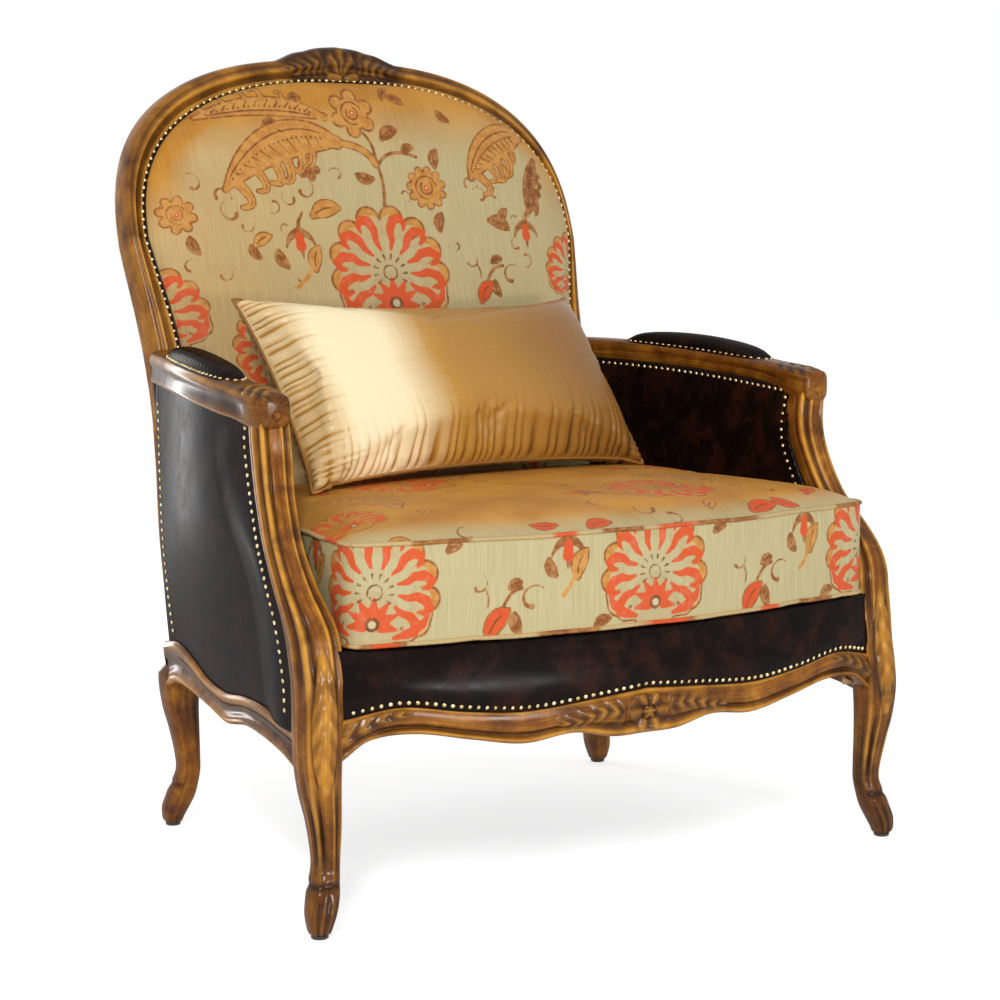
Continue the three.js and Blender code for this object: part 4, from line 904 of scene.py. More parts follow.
# Rear leg, stile and half the arch: rounded squares blend into the moulding, which is then
# carried up the stile and round the superellipse of the arch to the middle of the crest.
def halfBackFrame():
    u, v = mouldingSection().T
    turn = np.unwrap(np.arctan2(v * 2 - 1, u * 2 - 1))
    reach = (np.abs(np.cos(turn)) ** 3 + np.abs(np.sin(turn)) ** 3) ** (-1 / 3)
    square = np.stack([np.cos(turn) * reach, np.sin(turn) * reach], 1)
    channel = bump((u - 0.31) / 0.09) + 0.8 * bump((u - 0.66) / 0.09)
    front = 1 - rise(0.2, 0.35, v)
    hollow = np.clip(channel, 0, 1) * front
    bead = np.clip(bump((u - 0.12) / 0.08) + bump((u - 0.48) / 0.08), 0, 1) * front

    legZ = postLevels(moulding["rearKnee"], 78)
    out, behind, size = (smoothAt(column(legTable, i), legZ / legs["height"]) for i in (1, 2, 3))
    half = size * legs["block"]
    half[:2] *= legs["eased"]
    cx = feet["rearHalf"] + out * legs["reach"]
    cy = feet["span"] - behind * legs["reach"]
    gouge = bump((legZ - 0.060) / 0.006)[:, None] * rise(0.2, 0.8, square[:, 0])
    radius = half[:, None] - moulding["gouge"] * gouge
    legRings = gridOf(cx[:, None] + radius * square[:, 0], cy[:, None] + radius * square[:, 1],
                      legZ[:, None])

    z = np.concatenate([np.linspace(rails["top"] - 0.012, 0.40, 44),
                        np.linspace(0.404, back["spring"], 90)])
    inner, outer = backInner(np.maximum(z, rails["top"])), backOuter(np.maximum(z, rails["top"]))
    blend = rise(0.262, 0.345, z)
    deep = unit(mix(np.array([0, 1.0, 0]), backNormal(z), blend[:, None]))
    middle = gridOf((inner + outer) / 2, backFace(z), z) + deep * back["depth"] / 2
    across = mix(square[None, :, 0], (2 * u - 1)[None], blend[:, None])
    into = mix(square[None, :, 1], (2 * v - 1)[None], blend[:, None])
    stileRings = middle[:, None] + deep[:, None] * into[:, :, None] * back["depth"] / 2
    stileRings[:, :, 0] += across * ((outer - inner) / 2)[:, None]

    angle = np.pi / 2 * (1 - (1 - np.linspace(0, 1, 190)[1:]) ** 1.25)
    innerEdge = innerArch(angle)
    fromMiddle = np.abs(outerArch(angle)[:, 0]) / back["crestHalf"]
    crest = np.where(fromMiddle < 1, smoothAt(crestTable, fromMiddle), 0)
    outerEdge = outerArch(angle, crest * back["crestRise"])
    x, uu, vv = outerEdge[:, :1], u[None], v[None]
    # a fluted shell in the middle, leaves that curl away from it on each side
    shellTurn = np.arctan2(np.abs(x) / 0.034, np.maximum(uu - 0.1, 0.02) / 0.75)
    shellFar = np.hypot(x / 0.034, (uu - 0.1) / 0.85)
    shell = (1 - rise(0.82, 1.0, shellFar)) * rise(0.05, 0.2, shellFar)
    flutes = 0.5 + 0.5 * np.cos(shellTurn * 9)
    leafX = np.clip((np.abs(x) - 0.030) / 0.078, 0, 1)
    spine = 0.62 - 0.22 * np.sin(np.pi * leafX)
    offset = (uu - spine) / (0.34 * (1 - leafX) ** 0.5 + 0.05)
    leaf = np.exp(-1.6 * offset**2) * rise(0, 0.1, leafX) * (1 - rise(0.85, 1, leafX))
    lobes = wave(leafX * 5.5 - np.abs(offset) * 0.8)
    carved = 1 - rise(0.3, 0.55, vv)
    plainness = rise(0.085, 0.12, np.abs(x))
    relief = carved * (moulding["shellDeep"] * shell * (0.4 + 0.6 * flutes)
                       + moulding["leafDeep"] * leaf * (0.35 + 0.65 * lobes))
    forward = (crest * back["crestForward"])[:, None] * uu * (vv < 0.5)
    shift = vv * back["depth"] - forward - relief * (1 - plainness)
    archRings = mix(innerEdge[:, None], outerEdge[:, None], uu[..., None])
    archRings = archRings + shift[..., None] * backward

    rings = np.concatenate([legRings, stileRings, archRings])
    raised = np.clip(shell * flutes + leaf * lobes, 0, 1)
    # painted shade in the hollows, the rear foot's gouge and the carving's low places; beads and
    # raised carving rubbed golden, partly wear and partly a painted highlight
    archPaintedShade = plainness * hollow * 0.8 + (1 - plainness) * carved * (0.35 + 0.6 * (1 - raised))
    recess = np.concatenate([gouge * 0.8, blend[:, None] * hollow * 0.8,
                             np.clip(archPaintedShade, 0, 1)])
    archWearAndHighlight = plainness * (0.2 + 0.6 * bead) + (1 - plainness) * carved * 0.5 * raised
    ridge = np.concatenate([0 * gouge, blend[:, None] * (0.2 + 0.8 * bead), archWearAndHighlight])
    return rings, recess, ridge


def backFrame():
    rings, *shades = halfBackFrame()
    rings = np.concatenate([rings, rings[-2::-1] * [-1, 1, 1]])
    recess, ridge = (np.concatenate([shade, shade[-2::-1]]) for shade in shades)
    return loftForm(rings, {"recess": recess, "ridge": ridge})


makePiece("back_frame", backFrame(), walnut,
          replaced=("back_post_left", "back_post_right", "crest_rail"))
print("back frame made")


# Arm rails

armCarving = {"stations": 190, "around": 88, "cove": 0.0044, "grooves": 0.0016, "leaf": 0.0020,
              "boss": 0.0052, "bossLow": 0.012}


# Arm rail of one side: its knuckle swells and rounds over in front, a wide cove runs along the
# outer side between two beads, and a shallow one along the inner side.
def armRail():
    s = np.concatenate([[0.0, 0.0015, 0.004, 0.008], np.linspace(0.013, 1, armCarving["stations"])])
    x, y, z = armLine(s)
    inKnuckle = 1 - rise(0, 0.26, s)
    swell = np.where(s < 0.26, smoothAt(knuckleTable, s), 1)
    swell[:4] = [0.42, 0.62, 0.76, 0.86]
    u, v = roundedSquare(armCarving["around"], arms["power"]).T[:, None]
    wide = ((arms["halfWide"] + arms["knuckle"] * inKnuckle) * swell)[:, None]
    deep = (arms["deep"] / 2 * swell)[:, None]
    apron = mix((1 + u) / 2, 1, inKnuckle[:, None]) * (1 - v) / 2
    behind = rise(0.05, 0.16, s)[:, None]
    outer, inner = rise(0.6, 0.95, u), rise(0.6, 0.95, -u)
    cove = outer * bump((v + 0.12) / 0.5, 3) * behind + 0.35 * inner * bump(v / 0.3) * behind
    side = (bump((u - 0.74) / 0.07) + bump((u + 0.74) / 0.07)) * rise(0.5, 0.9, v) * 0.35
    # gouged leaf on top of the knuckle
    t = np.clip(s / 0.15, 0, 1)[:, None]
    leaf = rise(0.5, 0.9, v) * (1 - rise(0.8, 1, t)) * rise(0.0, 0.2, t)
    lobes = wave(t * 3.2 + np.abs(u) * 1.1)
    inward = (armCarving["cove"] * cove + armCarving["grooves"] * side
              + armCarving["leaf"] * leaf * (1 - lobes))
    rings = gridOf(x[:, None] + (wide - inward) * u, y[:, None],
                   z[:, None] + (deep - inward * rise(0.3, 0.9, v)) * v
                   - arms["apron"] * swell[:, None] * apron)
    # painted shade: the whole rail a little darker, darker still in its coves, side grooves and the
    # leaf's cuts; beads and leaf lobes rubbed golden, partly wear and partly a painted highlight
    recess = np.clip(0.26 + 0.7 * cove + side + 0.8 * leaf * (1 - lobes), 0, 1)
    ridge = np.clip(behind * outer * (bump((v - 0.62) / 0.2) + bump((v + 0.78) / 0.16))
                    + leaf * lobes * 0.5, 0, 1)
    return together([loftForm(rings, {"recess": recess, "ridge": ridge}), knuckleBoss()])


# Round boss on the front of the knuckle: a half ball on a small ring.
def knuckleBoss():
    x, y, z = armLine(np.zeros(1))
    t = np.linspace(0, 1, 12)
    radius = armCarving["boss"] * np.concatenate([[1.25, 1.25, 1.1], np.cos(t * np.pi / 2 * 0.96)])
    ahead = np.concatenate([[-0.012, 0.0004, 0.0010], 0.0010 + 0.0030 * np.sin(t * np.pi / 2)])
    angle = np.arange(28) * 2 * np.pi / 28
    rings = gridOf(x + radius[:, None] * np.cos(angle), y - ahead[:, None],
                   z - armCarving["bossLow"] + radius[:, None] * np.sin(angle))
    # painted shade in the ring where the boss meets the knuckle
    recess = np.zeros(len(radius))
    recess[2] = 0.9
    return loftForm(rings, {"recess": recess[:, None]})


makePair("arm_rail_wood", armRail(), walnut, "arm_rail")
print("arm rails made")


# Seat rails

railCarving = {"rows": 44, "swell": 0.003, "bead": 0.0032, "cove": 0.0042, "flower": 0.0065,
               "flowerWide": 0.030, "leaf": 0.0042, "endLeaf": 0.0034, "sideCove": 0.0058,
               "lowBead": 0.0022, "highBead": 0.0012}


# A rail's section, given its face from the top down, goes on round its back edges: depth from
# the face and height share.
def railSection(face, depth):
    ends = np.array([[rails["thick"], 1], [rails["thick"] / 2, 1]])
    return np.concatenate([ends, np.stack([depth, face], 1), ends[::-1] * [1, 0]])


# Front rail: bowed in plan, serpentine edges, a carved flower in the middle with leaves beside it.
def frontRail():
    x = np.linspace(-0.412, 0.412, 560)[:, None]
    face = np.linspace(1, 0, railCarving["rows"])
    cove, bead, lip = (bump((face - at) / wide) for at, wide in
                       ((0.27, 0.12), (0.10, 0.09), (0.93, 0.06)))
    depth = (-railCarving["swell"] * (1 - (2 * face - 1) ** 2) + railCarving["cove"] * cove
             - railCarving["bead"] * bead * 0.6)
    depth[[0, -1]] += [0.0012, 0.0020]
    cove, bead = np.pad(cove, 2), np.pad(np.clip(bead + lip, 0, 1), 2)
    depth, share = railSection(face, depth).T
    low = frontEdge(frontLow, rails["top"] - rails["deep"], x)
    high = frontEdge(frontTop, rails["top"], x)
    z = mix(low, high, share)
    far = np.abs(x)
    middle = (low + high) / 2
    flowerR = np.hypot(x, (z - middle + 0.002) * 1.15) / railCarving["flowerWide"]
    petals = 0.5 + 0.5 * np.cos(np.arctan2(z - middle, x) * 6)
    flower = 1 - rise(0.72 + 0.2 * petals, 0.95 + 0.1 * petals, flowerR)
    heart = bump(flowerR / 0.22, 4)
    ring = bump((flowerR - 0.34) / 0.07)
    t = np.clip((far - 0.030) / 0.105, 0, 1)
    offset = (z - middle - 0.006 * np.sin(np.pi * 2 * t)) / (0.017 * (1 - t) ** 0.6 + 0.002)
    leaf = np.exp(-1.5 * offset**2) * rise(0, 0.08, t) * (1 - rise(0.9, 1, t))
    endT = np.clip((0.400 - far) / 0.085, 0, 1)
    endOffset = (z - middle - 0.010 * endT) / (0.018 * (1 - endT) ** 0.7 + 0.002)
    endLeaf = np.exp(-1.5 * endOffset**2) * (1 - rise(0.85, 1, endT))
    lobes = wave(t * 6 - np.abs(offset) * 0.7)
    endLobes = wave(endT * 4 - np.abs(endOffset) * 0.7)
    onFace = (depth < 0.012) * rise(0.0, 0.10, share)
    onFace = onFace * (1 - rise(0.86, 0.95, share))
    carved = np.clip(flower + leaf + endLeaf, 0, 1)
    petalled = 0.45 + 0.4 * petals * (1 - heart) + 0.55 * heart - 0.5 * ring
    relief = onFace * (railCarving["flower"] * flower * petalled
                       + railCarving["leaf"] * leaf * (0.4 + 0.6 * lobes) * (1 - flower)
                       + railCarving["endLeaf"] * endLeaf * (0.4 + 0.6 * endLobes))
    plain = 1 - carved
    depth = depth - relief - railCarving["cove"] * cove * carved
    rings = gridOf(x, frontRailY(x) + depth, z)
    # painted shade in the coves and between the carving's raised parts; beads and raised carving
    # rubbed golden, partly wear and partly a painted highlight
    dark = carved * (1 - np.clip(flower * petals + heart + leaf * lobes + endLeaf * endLobes, 0, 1))
    recess = np.clip(plain * cove * 0.8 + onFace * (dark * 0.85 + flower * ring * 0.8), 0, 1)
    ridge = np.clip(plain * bead * 0.8 + onFace * carved * (1 - dark) * 0.45, 0, 1)
    return loftForm(rings, {"recess": recess, "ridge": ridge})


# Side rail: straight in plan, with one deep cove between two beads.
def sideRail():
    s = np.linspace(0, 1, 260)[:, None]
    x, y = sideLine(s)
    low = rails["top"] - rails["deep"] + rails["wave"] * smoothAt(sideLow, s)
    face = np.linspace(1, 0, railCarving["rows"])
    cove = bump((face - 0.50) / 0.24, 3)
    lower, upper = (bump((face - at) / 0.09) for at in (0.10, 0.88))
    depth = (-railCarving["swell"] * (1 - (2 * face - 1) ** 2) + railCarving["sideCove"] * cove
             - railCarving["lowBead"] * lower - railCarving["highBead"] * upper)
    cove, bead = np.pad(cove, 2), np.pad(np.clip(lower + upper, 0, 1), 2)
    depth, share = railSection(face, depth).T
    rings = gridOf(x - depth, y, mix(low, sideTopAt(s), share))
    # painted shade in the cove, and the beads rubbed golden, partly wear and partly a painted
    # highlight
    return loftForm(rings, {"recess": 0.75 * cove[None], "ridge": 0.8 * bead[None]})


makePiece("front_rail_carved", frontRail(), walnut, replaced=("front_rail",))
makePair("side_rail_moulded", sideRail(), walnut, "side_rail")
print("seat rails made")


# Leather

upholstery = {"borderHalf": 0.408, "innerThick": 0.019, "innerCrown": 0.009, "outerThick": 0.010,
              "outerCrown": 0.009, "borderThick": 0.024, "borderInset": 0.002,
              "borderSwell": 0.011, "borderLean": 0.006, "stuffing": 0.6, "pucker": 0.0016,
              "padHalf": 0.021, "padCrown": 0.020, "padStart": 0.232, "padEnd": 0.503,
              "backSwell": 0.006, "backThick": 0.008}
innerFit = {"post": 0.004, "back": 0.012, "tuck": 0.003, "wall": 0.0016, "nailPost": 0.014,
            "nailTop": 0.004}
nailing = {"pitch": 0.0115, "radius": 0.0031, "proud": 0.0020, "sides": 10, "gimp": 0.0030}


# A stuffed surface's rise between two edges, fuller the lower the power.
def arched(share, power):
    return np.sin(np.pi * np.clip(share, 0, 1)) ** power


# Leather drawn down at each nail: a small dip that repeats at the nails' pitch.
def pucker(distanceAlong, fromEdge, reach=0.012):
    drawn = 1 - wave(distanceAlong / nailing["pitch"])
    near = np.exp(-((fromEdge / reach) ** 2)) * rise(0, 0.003, fromEdge)
    return upholstery["pucker"] * drawn * near


# Where the inner arm's leather starts behind the post and ends before the back, at a height.
def innerArmSpan(level):
    return frontPostLine(level)[1] + innerFit["post"], backFace(level) - innerFit["back"]


# Inner arm: its front edge is nailed to the post's inner side, its top under the arm rail.
def innerArmSurface(up, along):
    low = seat["deckTop"] - seat["deckThick"]
    level = mix(low, arms["top"], up)
    postX, postY, postHalf = frontPostLine(level)
    y = mix(*innerArmSpan(level), along)
    railLow = armLow(y)
    z = mix(low, railLow + innerFit["tuck"], up)
    edge = postX - postHalf - innerFit["wall"]
    wall = mix(edge, innerArmX(y) + 0.0004, rise(0, 0.055, y - postY - innerFit["post"]))
    swell = upholstery["innerCrown"] * arched(along, upholstery["stuffing"]) * arched(
        up, upholstery["stuffing"])
    fromPost, fromTop = y - postY - innerFit["nailPost"], railLow - innerFit["nailTop"] - z
    dip = pucker(z, np.abs(fromPost)) + pucker(y, np.abs(fromTop))
    return gridOf(wall - swell + dip, y, z)


def innerArm():
    front = innerArmSurface(*shares(110, 170))
    return panelForm(front, front + [upholstery["innerThick"] * 0.8, 0, 0])


# Outer arm: from the side rail up to the arm rail, between the two posts.
def outerArmSurface(up, along):
    level = mix(rails["top"], arms["top"] - arms["deep"] / 2, up)
    postX, postY, postHalf = frontPostLine(level)
    y = mix(postY, backFace(level) + back["depth"] / 2, along)
    railShare = (y - sideLine(0.0)[1]) / (sideLine(1.0)[1] - sideLine(0.0)[1])
    bottom = sideTopAt(np.clip(railShare, 0, 1)) - 0.001
    z = mix(bottom, arms["top"] - arms["deep"] / 2, up)
    top = armLine(armShare(y))[0] + arms["halfWide"] - 0.011
    low = sideLine(railShare)[0] - 0.003
    swell = upholstery["outerCrown"] * arched(along, 0.6) * arched(up, 0.6)
    atPost = (1 - rise(0, 0.10, y - postY - postHalf)) * (1 - rise(0.86, 0.97, up))
    x = mix(mix(low, top, up) + swell, postX + postHalf - 0.0022, atPost)
    return gridOf(x, y, z)


def outerArm():
    front = outerArmSurface(*shares(110, 170))
    return panelForm(front, front - [upholstery["outerThick"], 0, 0])


# Upper edge of the front rail's wood, where the border's leather starts.
def borderLow(x):
    return frontEdge(frontTop, rails["top"], x) - upholstery["borderInset"]


# Front border: a bowed roll of leather on the front rail, fullest low down.
def frontBorderSurface(up, across):
    x = upholstery["borderHalf"] * (2 * across - 1)
    low = borderLow(x)
    z = mix(low, seat["deckTop"], up)
    power = math.log(0.5) / math.log(0.3)
    swell = upholstery["borderSwell"] * arched(up**power, upholstery["stuffing"])
    swell = swell * (1 - np.abs(2 * across - 1) ** 8)
    dip = pucker(x, z - low - 0.004, 0.010)
    lean = upholstery["borderLean"] * rise(0.15, 1, up)
    return gridOf(x, frontRailY(x) + upholstery["borderInset"] - swell + dip + lean, z)


def frontBorder():
    front = frontBorderSurface(*shares(60, 420))
    return panelForm(front, front + [0, upholstery["borderThick"], 0])


# Arm pad: a leather dome let onto the arm, its plan a long oval, creased along the nails.
def armPad():
    t, v = shares(150, 44, -1)
    x, y, z = armLine(armShare(mix(upholstery["padStart"], upholstery["padEnd"], t)))
    plan = (1 - np.abs(2 * t - 1) ** 5) ** 0.5
    wide = upholstery["padHalf"] * mix(0.35, 1, plan)
    fade = mix(0.10, 1, arched(t, 0.35)) * (1 - np.abs(2 * t - 1) ** 14)
    dome = (1 - np.abs(v) ** 2.6) ** (1 / 2.0)
    height = upholstery["padCrown"] * fade * dome
    height = height - 0.5 * pucker(y, (1 - np.abs(v)) * wide, 0.008) * rise(0, 0.3, dome)
    x, z = x + wide * v, z + arms["deep"] / 2
    top = gridOf(x, y, z - 0.0015 + height)
    return panelForm(top, gridOf(x, y, z - 0.005))


# Outer back: leather stretched over the back of the frame.
def outerBackSurface(up, across):
    low, top = rails["top"] + 0.0204, back["spring"] + back["innerRise"]
    z = mix(low, top, up * 0.998)
    s = across * 2 - 1
    full = (1 - s**4) * (1 - (2 * up - 1) ** 4)
    place = gridOf(s * openingHalf(z), backFace(z), z)
    out = back["depth"] - 0.002 + upholstery["backSwell"] * full
    return place + backNormal(z) * out[..., None]


def outerBack():
    up, across = shares(150, 130)
    grid = outerBackSurface(np.sin(up * np.pi / 2) ** 0.9, across)
    return panelForm(grid, grid - backNormal(grid[..., 2]) * upholstery["backThick"])


makePair("inner_arm_leather", innerArm(), leather, "inner_arm")
makePair("outer_arm_leather", outerArm(), leather, "outer_arm")
for pad in makePair("arm_pad_leather", armPad(), leather, "arm_pad"):
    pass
border = makePiece("front_border_leather", frontBorder(), leather, replaced=("front_border",))
makePiece("outer_back_leather", outerBack(), leather, replaced=("outer_back",))
print("leather made")


# Brocade pattern

# The pattern is a list of strokes: a layer, the points of a line and its half widths there. Each
# layer keeps, for every point of the cloth, how far inside its nearest stroke that point lies.
def stroke(layer, points, widths):
    points = np.asarray(points, float)
    return layer, points, np.broadcast_to(np.asarray(widths, float), (len(points),))


def turned(points, turn, x=0.0, y=0.0):
    c, s = math.cos(turn), math.sin(turn)
    return np.asarray(points) @ np.array([[c, s], [-s, c]]) + [x, y]


# Quadratic curve with a start, a pull and an end, or the part of it between two shares.
def curve(start, pull, end, count=12, low=0.0, high=1.0):
    t = np.linspace(low, high, count)[:, None]
    return (1 - t) ** 2 * np.array(start) + 2 * t * (1 - t) * np.array(pull) + t**2 * np.array(end)


# Points round a circle from one angle to another.
def arc(x, y, r, low, high, count=9):
    a = np.linspace(low, high, count)
    return np.stack([x + r * np.cos(a), y + r * np.sin(a)], 1)


def dots(layer, points, radius):
    return [stroke(layer, np.array([p, p + [1e-5, 0]]), radius) for p in np.asarray(points, float)]


# Chrysanthemum: hooked petals fanned over its top within a border of copper lobes, and at its
# foot half a small rosette between two side petals.
def flower(x, y, r, turn=0.0):
    made, petals = [], 10

    def put(layer, line, widths):
        made.append(stroke(layer, turned(np.asarray(line) * r, turn, x, y), np.asarray(widths) * r))

    for k in range(petals):
        a = math.radians(-32 + 244 * k / (petals - 1))
        way, across = np.array([math.cos(a), math.sin(a)]), np.array([-math.sin(a), math.cos(a)])
        across = across * (1 if a > math.pi / 2 else -1)
        sway = 0.02 * math.sin(5.3 * k)
        put("copper", [way * 0.72, way * (0.81 + sway)], 0.205)
        put("tan", [way * 0.72, way * (0.82 + sway)], 0.160)
        put("halo", [way * 0.10, way * 0.70], [0.16, 0.165 + sway])
        line = [way * 0.35, way * 0.50 + across * 0.02, way * (0.64 + sway) - across * 0.02,
                way * (0.79 + sway) + across * 0.02, way * 0.86 + across * 0.13,
                way * 0.78 + across * 0.21, way * 0.68 + across * 0.20]
        put("coral", line, [0.022, 0.050, 0.066, 0.076, 0.062, 0.040, 0.020])
        put("vein", [way * 0.19, way * 0.27], [0.010, 0.022])
    put("vein", arc(0, 0, 0.11, 0, 2 * math.pi, 16), 0.014)
    foot = np.array([0.0, -0.46])
    put("copper", [foot - [0.01, 0.0], foot + [0.0, 0.02]], 0.46)
    put("halo", [foot - [0.01, 0.0], foot + [0.0, 0.02]], 0.42)
    for k in range(7):
        a = math.radians(-10 + 200 * k / 6)
        way = np.array([math.cos(a), math.sin(a)])
        put("coral", [foot + way * 0.15, foot + way * 0.37], [0.090, 0.024])
    put("vein", [foot - [0.01, 0], foot], 0.105)
    put("cream", [foot - [0.01, 0], foot], 0.055)
    for side in (-1, 1):
        line = np.array([[0.34, -0.64], [0.56, -0.58], [0.76, -0.44], [0.84, -0.28]]) * [side, 1]
        put("copper", line, [0.08, 0.135, 0.125, 0.07])
        put("halo", line, [0.05, 0.105, 0.095, 0.04])
        put("coral", line, [0.03, 0.075, 0.065, 0.02])
    return made


# Thin curl: a line that winds in to a round end.
def hook(x, y, size, turn, flip):
    t = np.linspace(0, 1, 14)
    wind = 3.7 * t
    reach = size * (1 - 0.60 * t)
    line = np.stack([reach * np.cos(wind), flip * reach * np.sin(wind)], 1)
    return [stroke("copper", turned(line, turn, x, y), size * (0.055 + 0.12 * t**2))]


# Feathered leaf along a curve: tan body edged with copper, a dotted rib and slanting veins in
# it, and a hem of curled lobes on one side.
def feather(start, pull, end, wide, side=1, core="tan", lobes=7):
    spine = curve(start, pull, end, 26)
    t = np.linspace(0, 1, 26)
    body = wide * np.sin(np.pi * np.clip(t, 0.04, 0.985) ** 0.85) ** 0.7
    ahead = unit(np.gradient(spine, axis=0))
    across = np.stack([-ahead[:, 1], ahead[:, 0]], 1) * side
    made = [stroke("copper", spine, body + 0.0028), stroke(core, spine, np.maximum(body, 0.001))]
    for k in np.linspace(5, 23, lobes).astype(int):
        size = wide * (0.50 + 0.10 * math.sin(2.3 * k))
        foot, out, onward = spine[k] - across[k] * body[k] * 0.8, -across[k] * size, ahead[k] * size
        lobe = curve(foot, foot + out * 3.4 + onward * 0.2, foot + out * 1.8 + onward * 1.7, 8)
        made.append(stroke("copper", lobe, size * np.linspace(0.46, 0.16, 8) + 0.0020))
        made.append(stroke(core, lobe, size * np.linspace(0.46, 0.16, 8)))
        made.append(stroke("vein", lobe[1:6], 0.0009))
    for k in range(4, 23, 2):
        made.append(stroke("vein", [spine[k], spine[k - 1] - across[k] * body[k] * 0.8],
                           [0.0013, 0.0008]))
    made += dots("vein", spine[3:-2], 0.0019)
    made.append(stroke("vein", (spine + across * body[:, None] * 0.5)[3:-2], 0.0012))
    tip = spine[-1] + ahead[-1] * wide * 0.5
    return made + hook(tip[0], tip[1], wide * 0.62, math.atan2(*ahead[-1][::-1]) + 2.0, -side)


# Small leaf: tan within a copper edge, a dark rib along it.
def leaf(x, y, size, turn=0.0, core="tan"):
    t = np.linspace(0, 1, 9)
    line = np.stack([size * (t - 0.5), 0.12 * size * np.sin(np.pi * t)], 1)
    fat = size * 0.28 * np.sin(np.pi * np.clip(t, 0.08, 0.96)) ** 0.8
    line = turned(line, turn, x, y)
    return [stroke("copper", line, fat + 0.0020), stroke(core, line, fat),
            stroke("vein", line[1:-2], 0.0013)]


# Sprig: a coral heart between copper sepals, on a short stalk.
def sprig(x, y, size, turn):
    made = []
    for a, reach in ((-0.85, 0.95), (0, 1.15), (0.85, 0.95)):
        line = curve((0, 0), (0.55 * math.cos(a * 1.7), 0.55 * math.sin(a * 1.7)),
                     (reach * math.cos(a), reach * math.sin(a)), 7) * size
        made.append(stroke("copper", turned(line, turn, x, y), size * np.linspace(0.24, 0.05, 7)))
    heart = np.array([[0.12, 0], [0.62, 0]]) * size
    made.append(stroke("coral", turned(heart, turn, x, y), np.array([0.16, 0.26]) * size))
    stalk = np.array([[0, 0], [-0.5, 0.12], [-0.9, 0.42]]) * size
    made.append(stroke("copper", turned(stalk, turn, x, y), np.array([0.12, 0.09, 0.05]) * size))
    curl = turned([[-0.25, -0.55]], turn)[0] * size + [x, y]
    return made + hook(*curl, 0.34 * size, turn, -1)


# Round flower: a copper outline, a tan body with darker rings, small lobes round it.
def rose(x, y, r, turn=0.0, lobes=9, core="tan"):
    made = []
    for k in range(lobes):
        a = turn + k * 2 * math.pi / lobes
        spot = np.array([x + r * math.cos(a), y + r * math.sin(a)])
        made += dots("copper", [spot], 2.9 * r / lobes) + dots(core, [spot], 2.0 * r / lobes)
    made += dots("copper", [[x, y]], 0.98 * r) + dots(core, [[x, y]], 0.88 * r)
    made.append(stroke("vein", arc(x, y, 0.66 * r, turn, turn + 4.6, 18), 0.045 * r))
    made.append(stroke("vein", arc(x, y, 0.36 * r, turn + 2, turn + 7, 14), 0.045 * r))
    return made + dots("coral", [[x, y]], 0.17 * r) + dots("cream", [[x, y]], 0.08 * r)


def stem(start, pull, end, width=0.0020, layer="copper"):
    return [stroke(layer, curve(start, pull, end), width)]


# A motif for every row of what its function takes, with more that is the same for all.
def many(motif, rows, *more):
    return [line for row in rows for line in motif(*row, *more)]


# Fields of cloth without strokes, and others as given.
def plainCloth(shape, **given):
    values = {**dict.fromkeys(threads, bare), **given}
    return {name: np.full(shape, value) for name, value in values.items()}


# Fields of the pattern's layers at flat points of the cloth.
def patternFields(flat, strokes):
    points = flat.reshape(-1, 2)
    fields = plainCloth(len(points))
    for layer, line, widths in strokes:
        reach = widths.max() - bare
        low, high = line.min(0) - reach, line.max(0) + reach
        near = np.flatnonzero(((points >= low) & (points <= high)).all(1))
        if not len(near):
            continue
        a, ab = line[:-1], np.diff(line, axis=0)
        p = points[near][:, None] - a
        t = np.clip((p * ab).sum(-1) / np.maximum((ab**2).sum(-1), 1e-14), 0, 1)
        gap = np.linalg.norm(p - t[..., None] * ab, axis=-1)
        inside = (widths[:-1] + t * np.diff(widths) - gap).max(1)
        fields[layer][near] = np.maximum(fields[layer][near], inside)
    return {layer: values.reshape(flat.shape[:-1]) for layer, values in fields.items()}


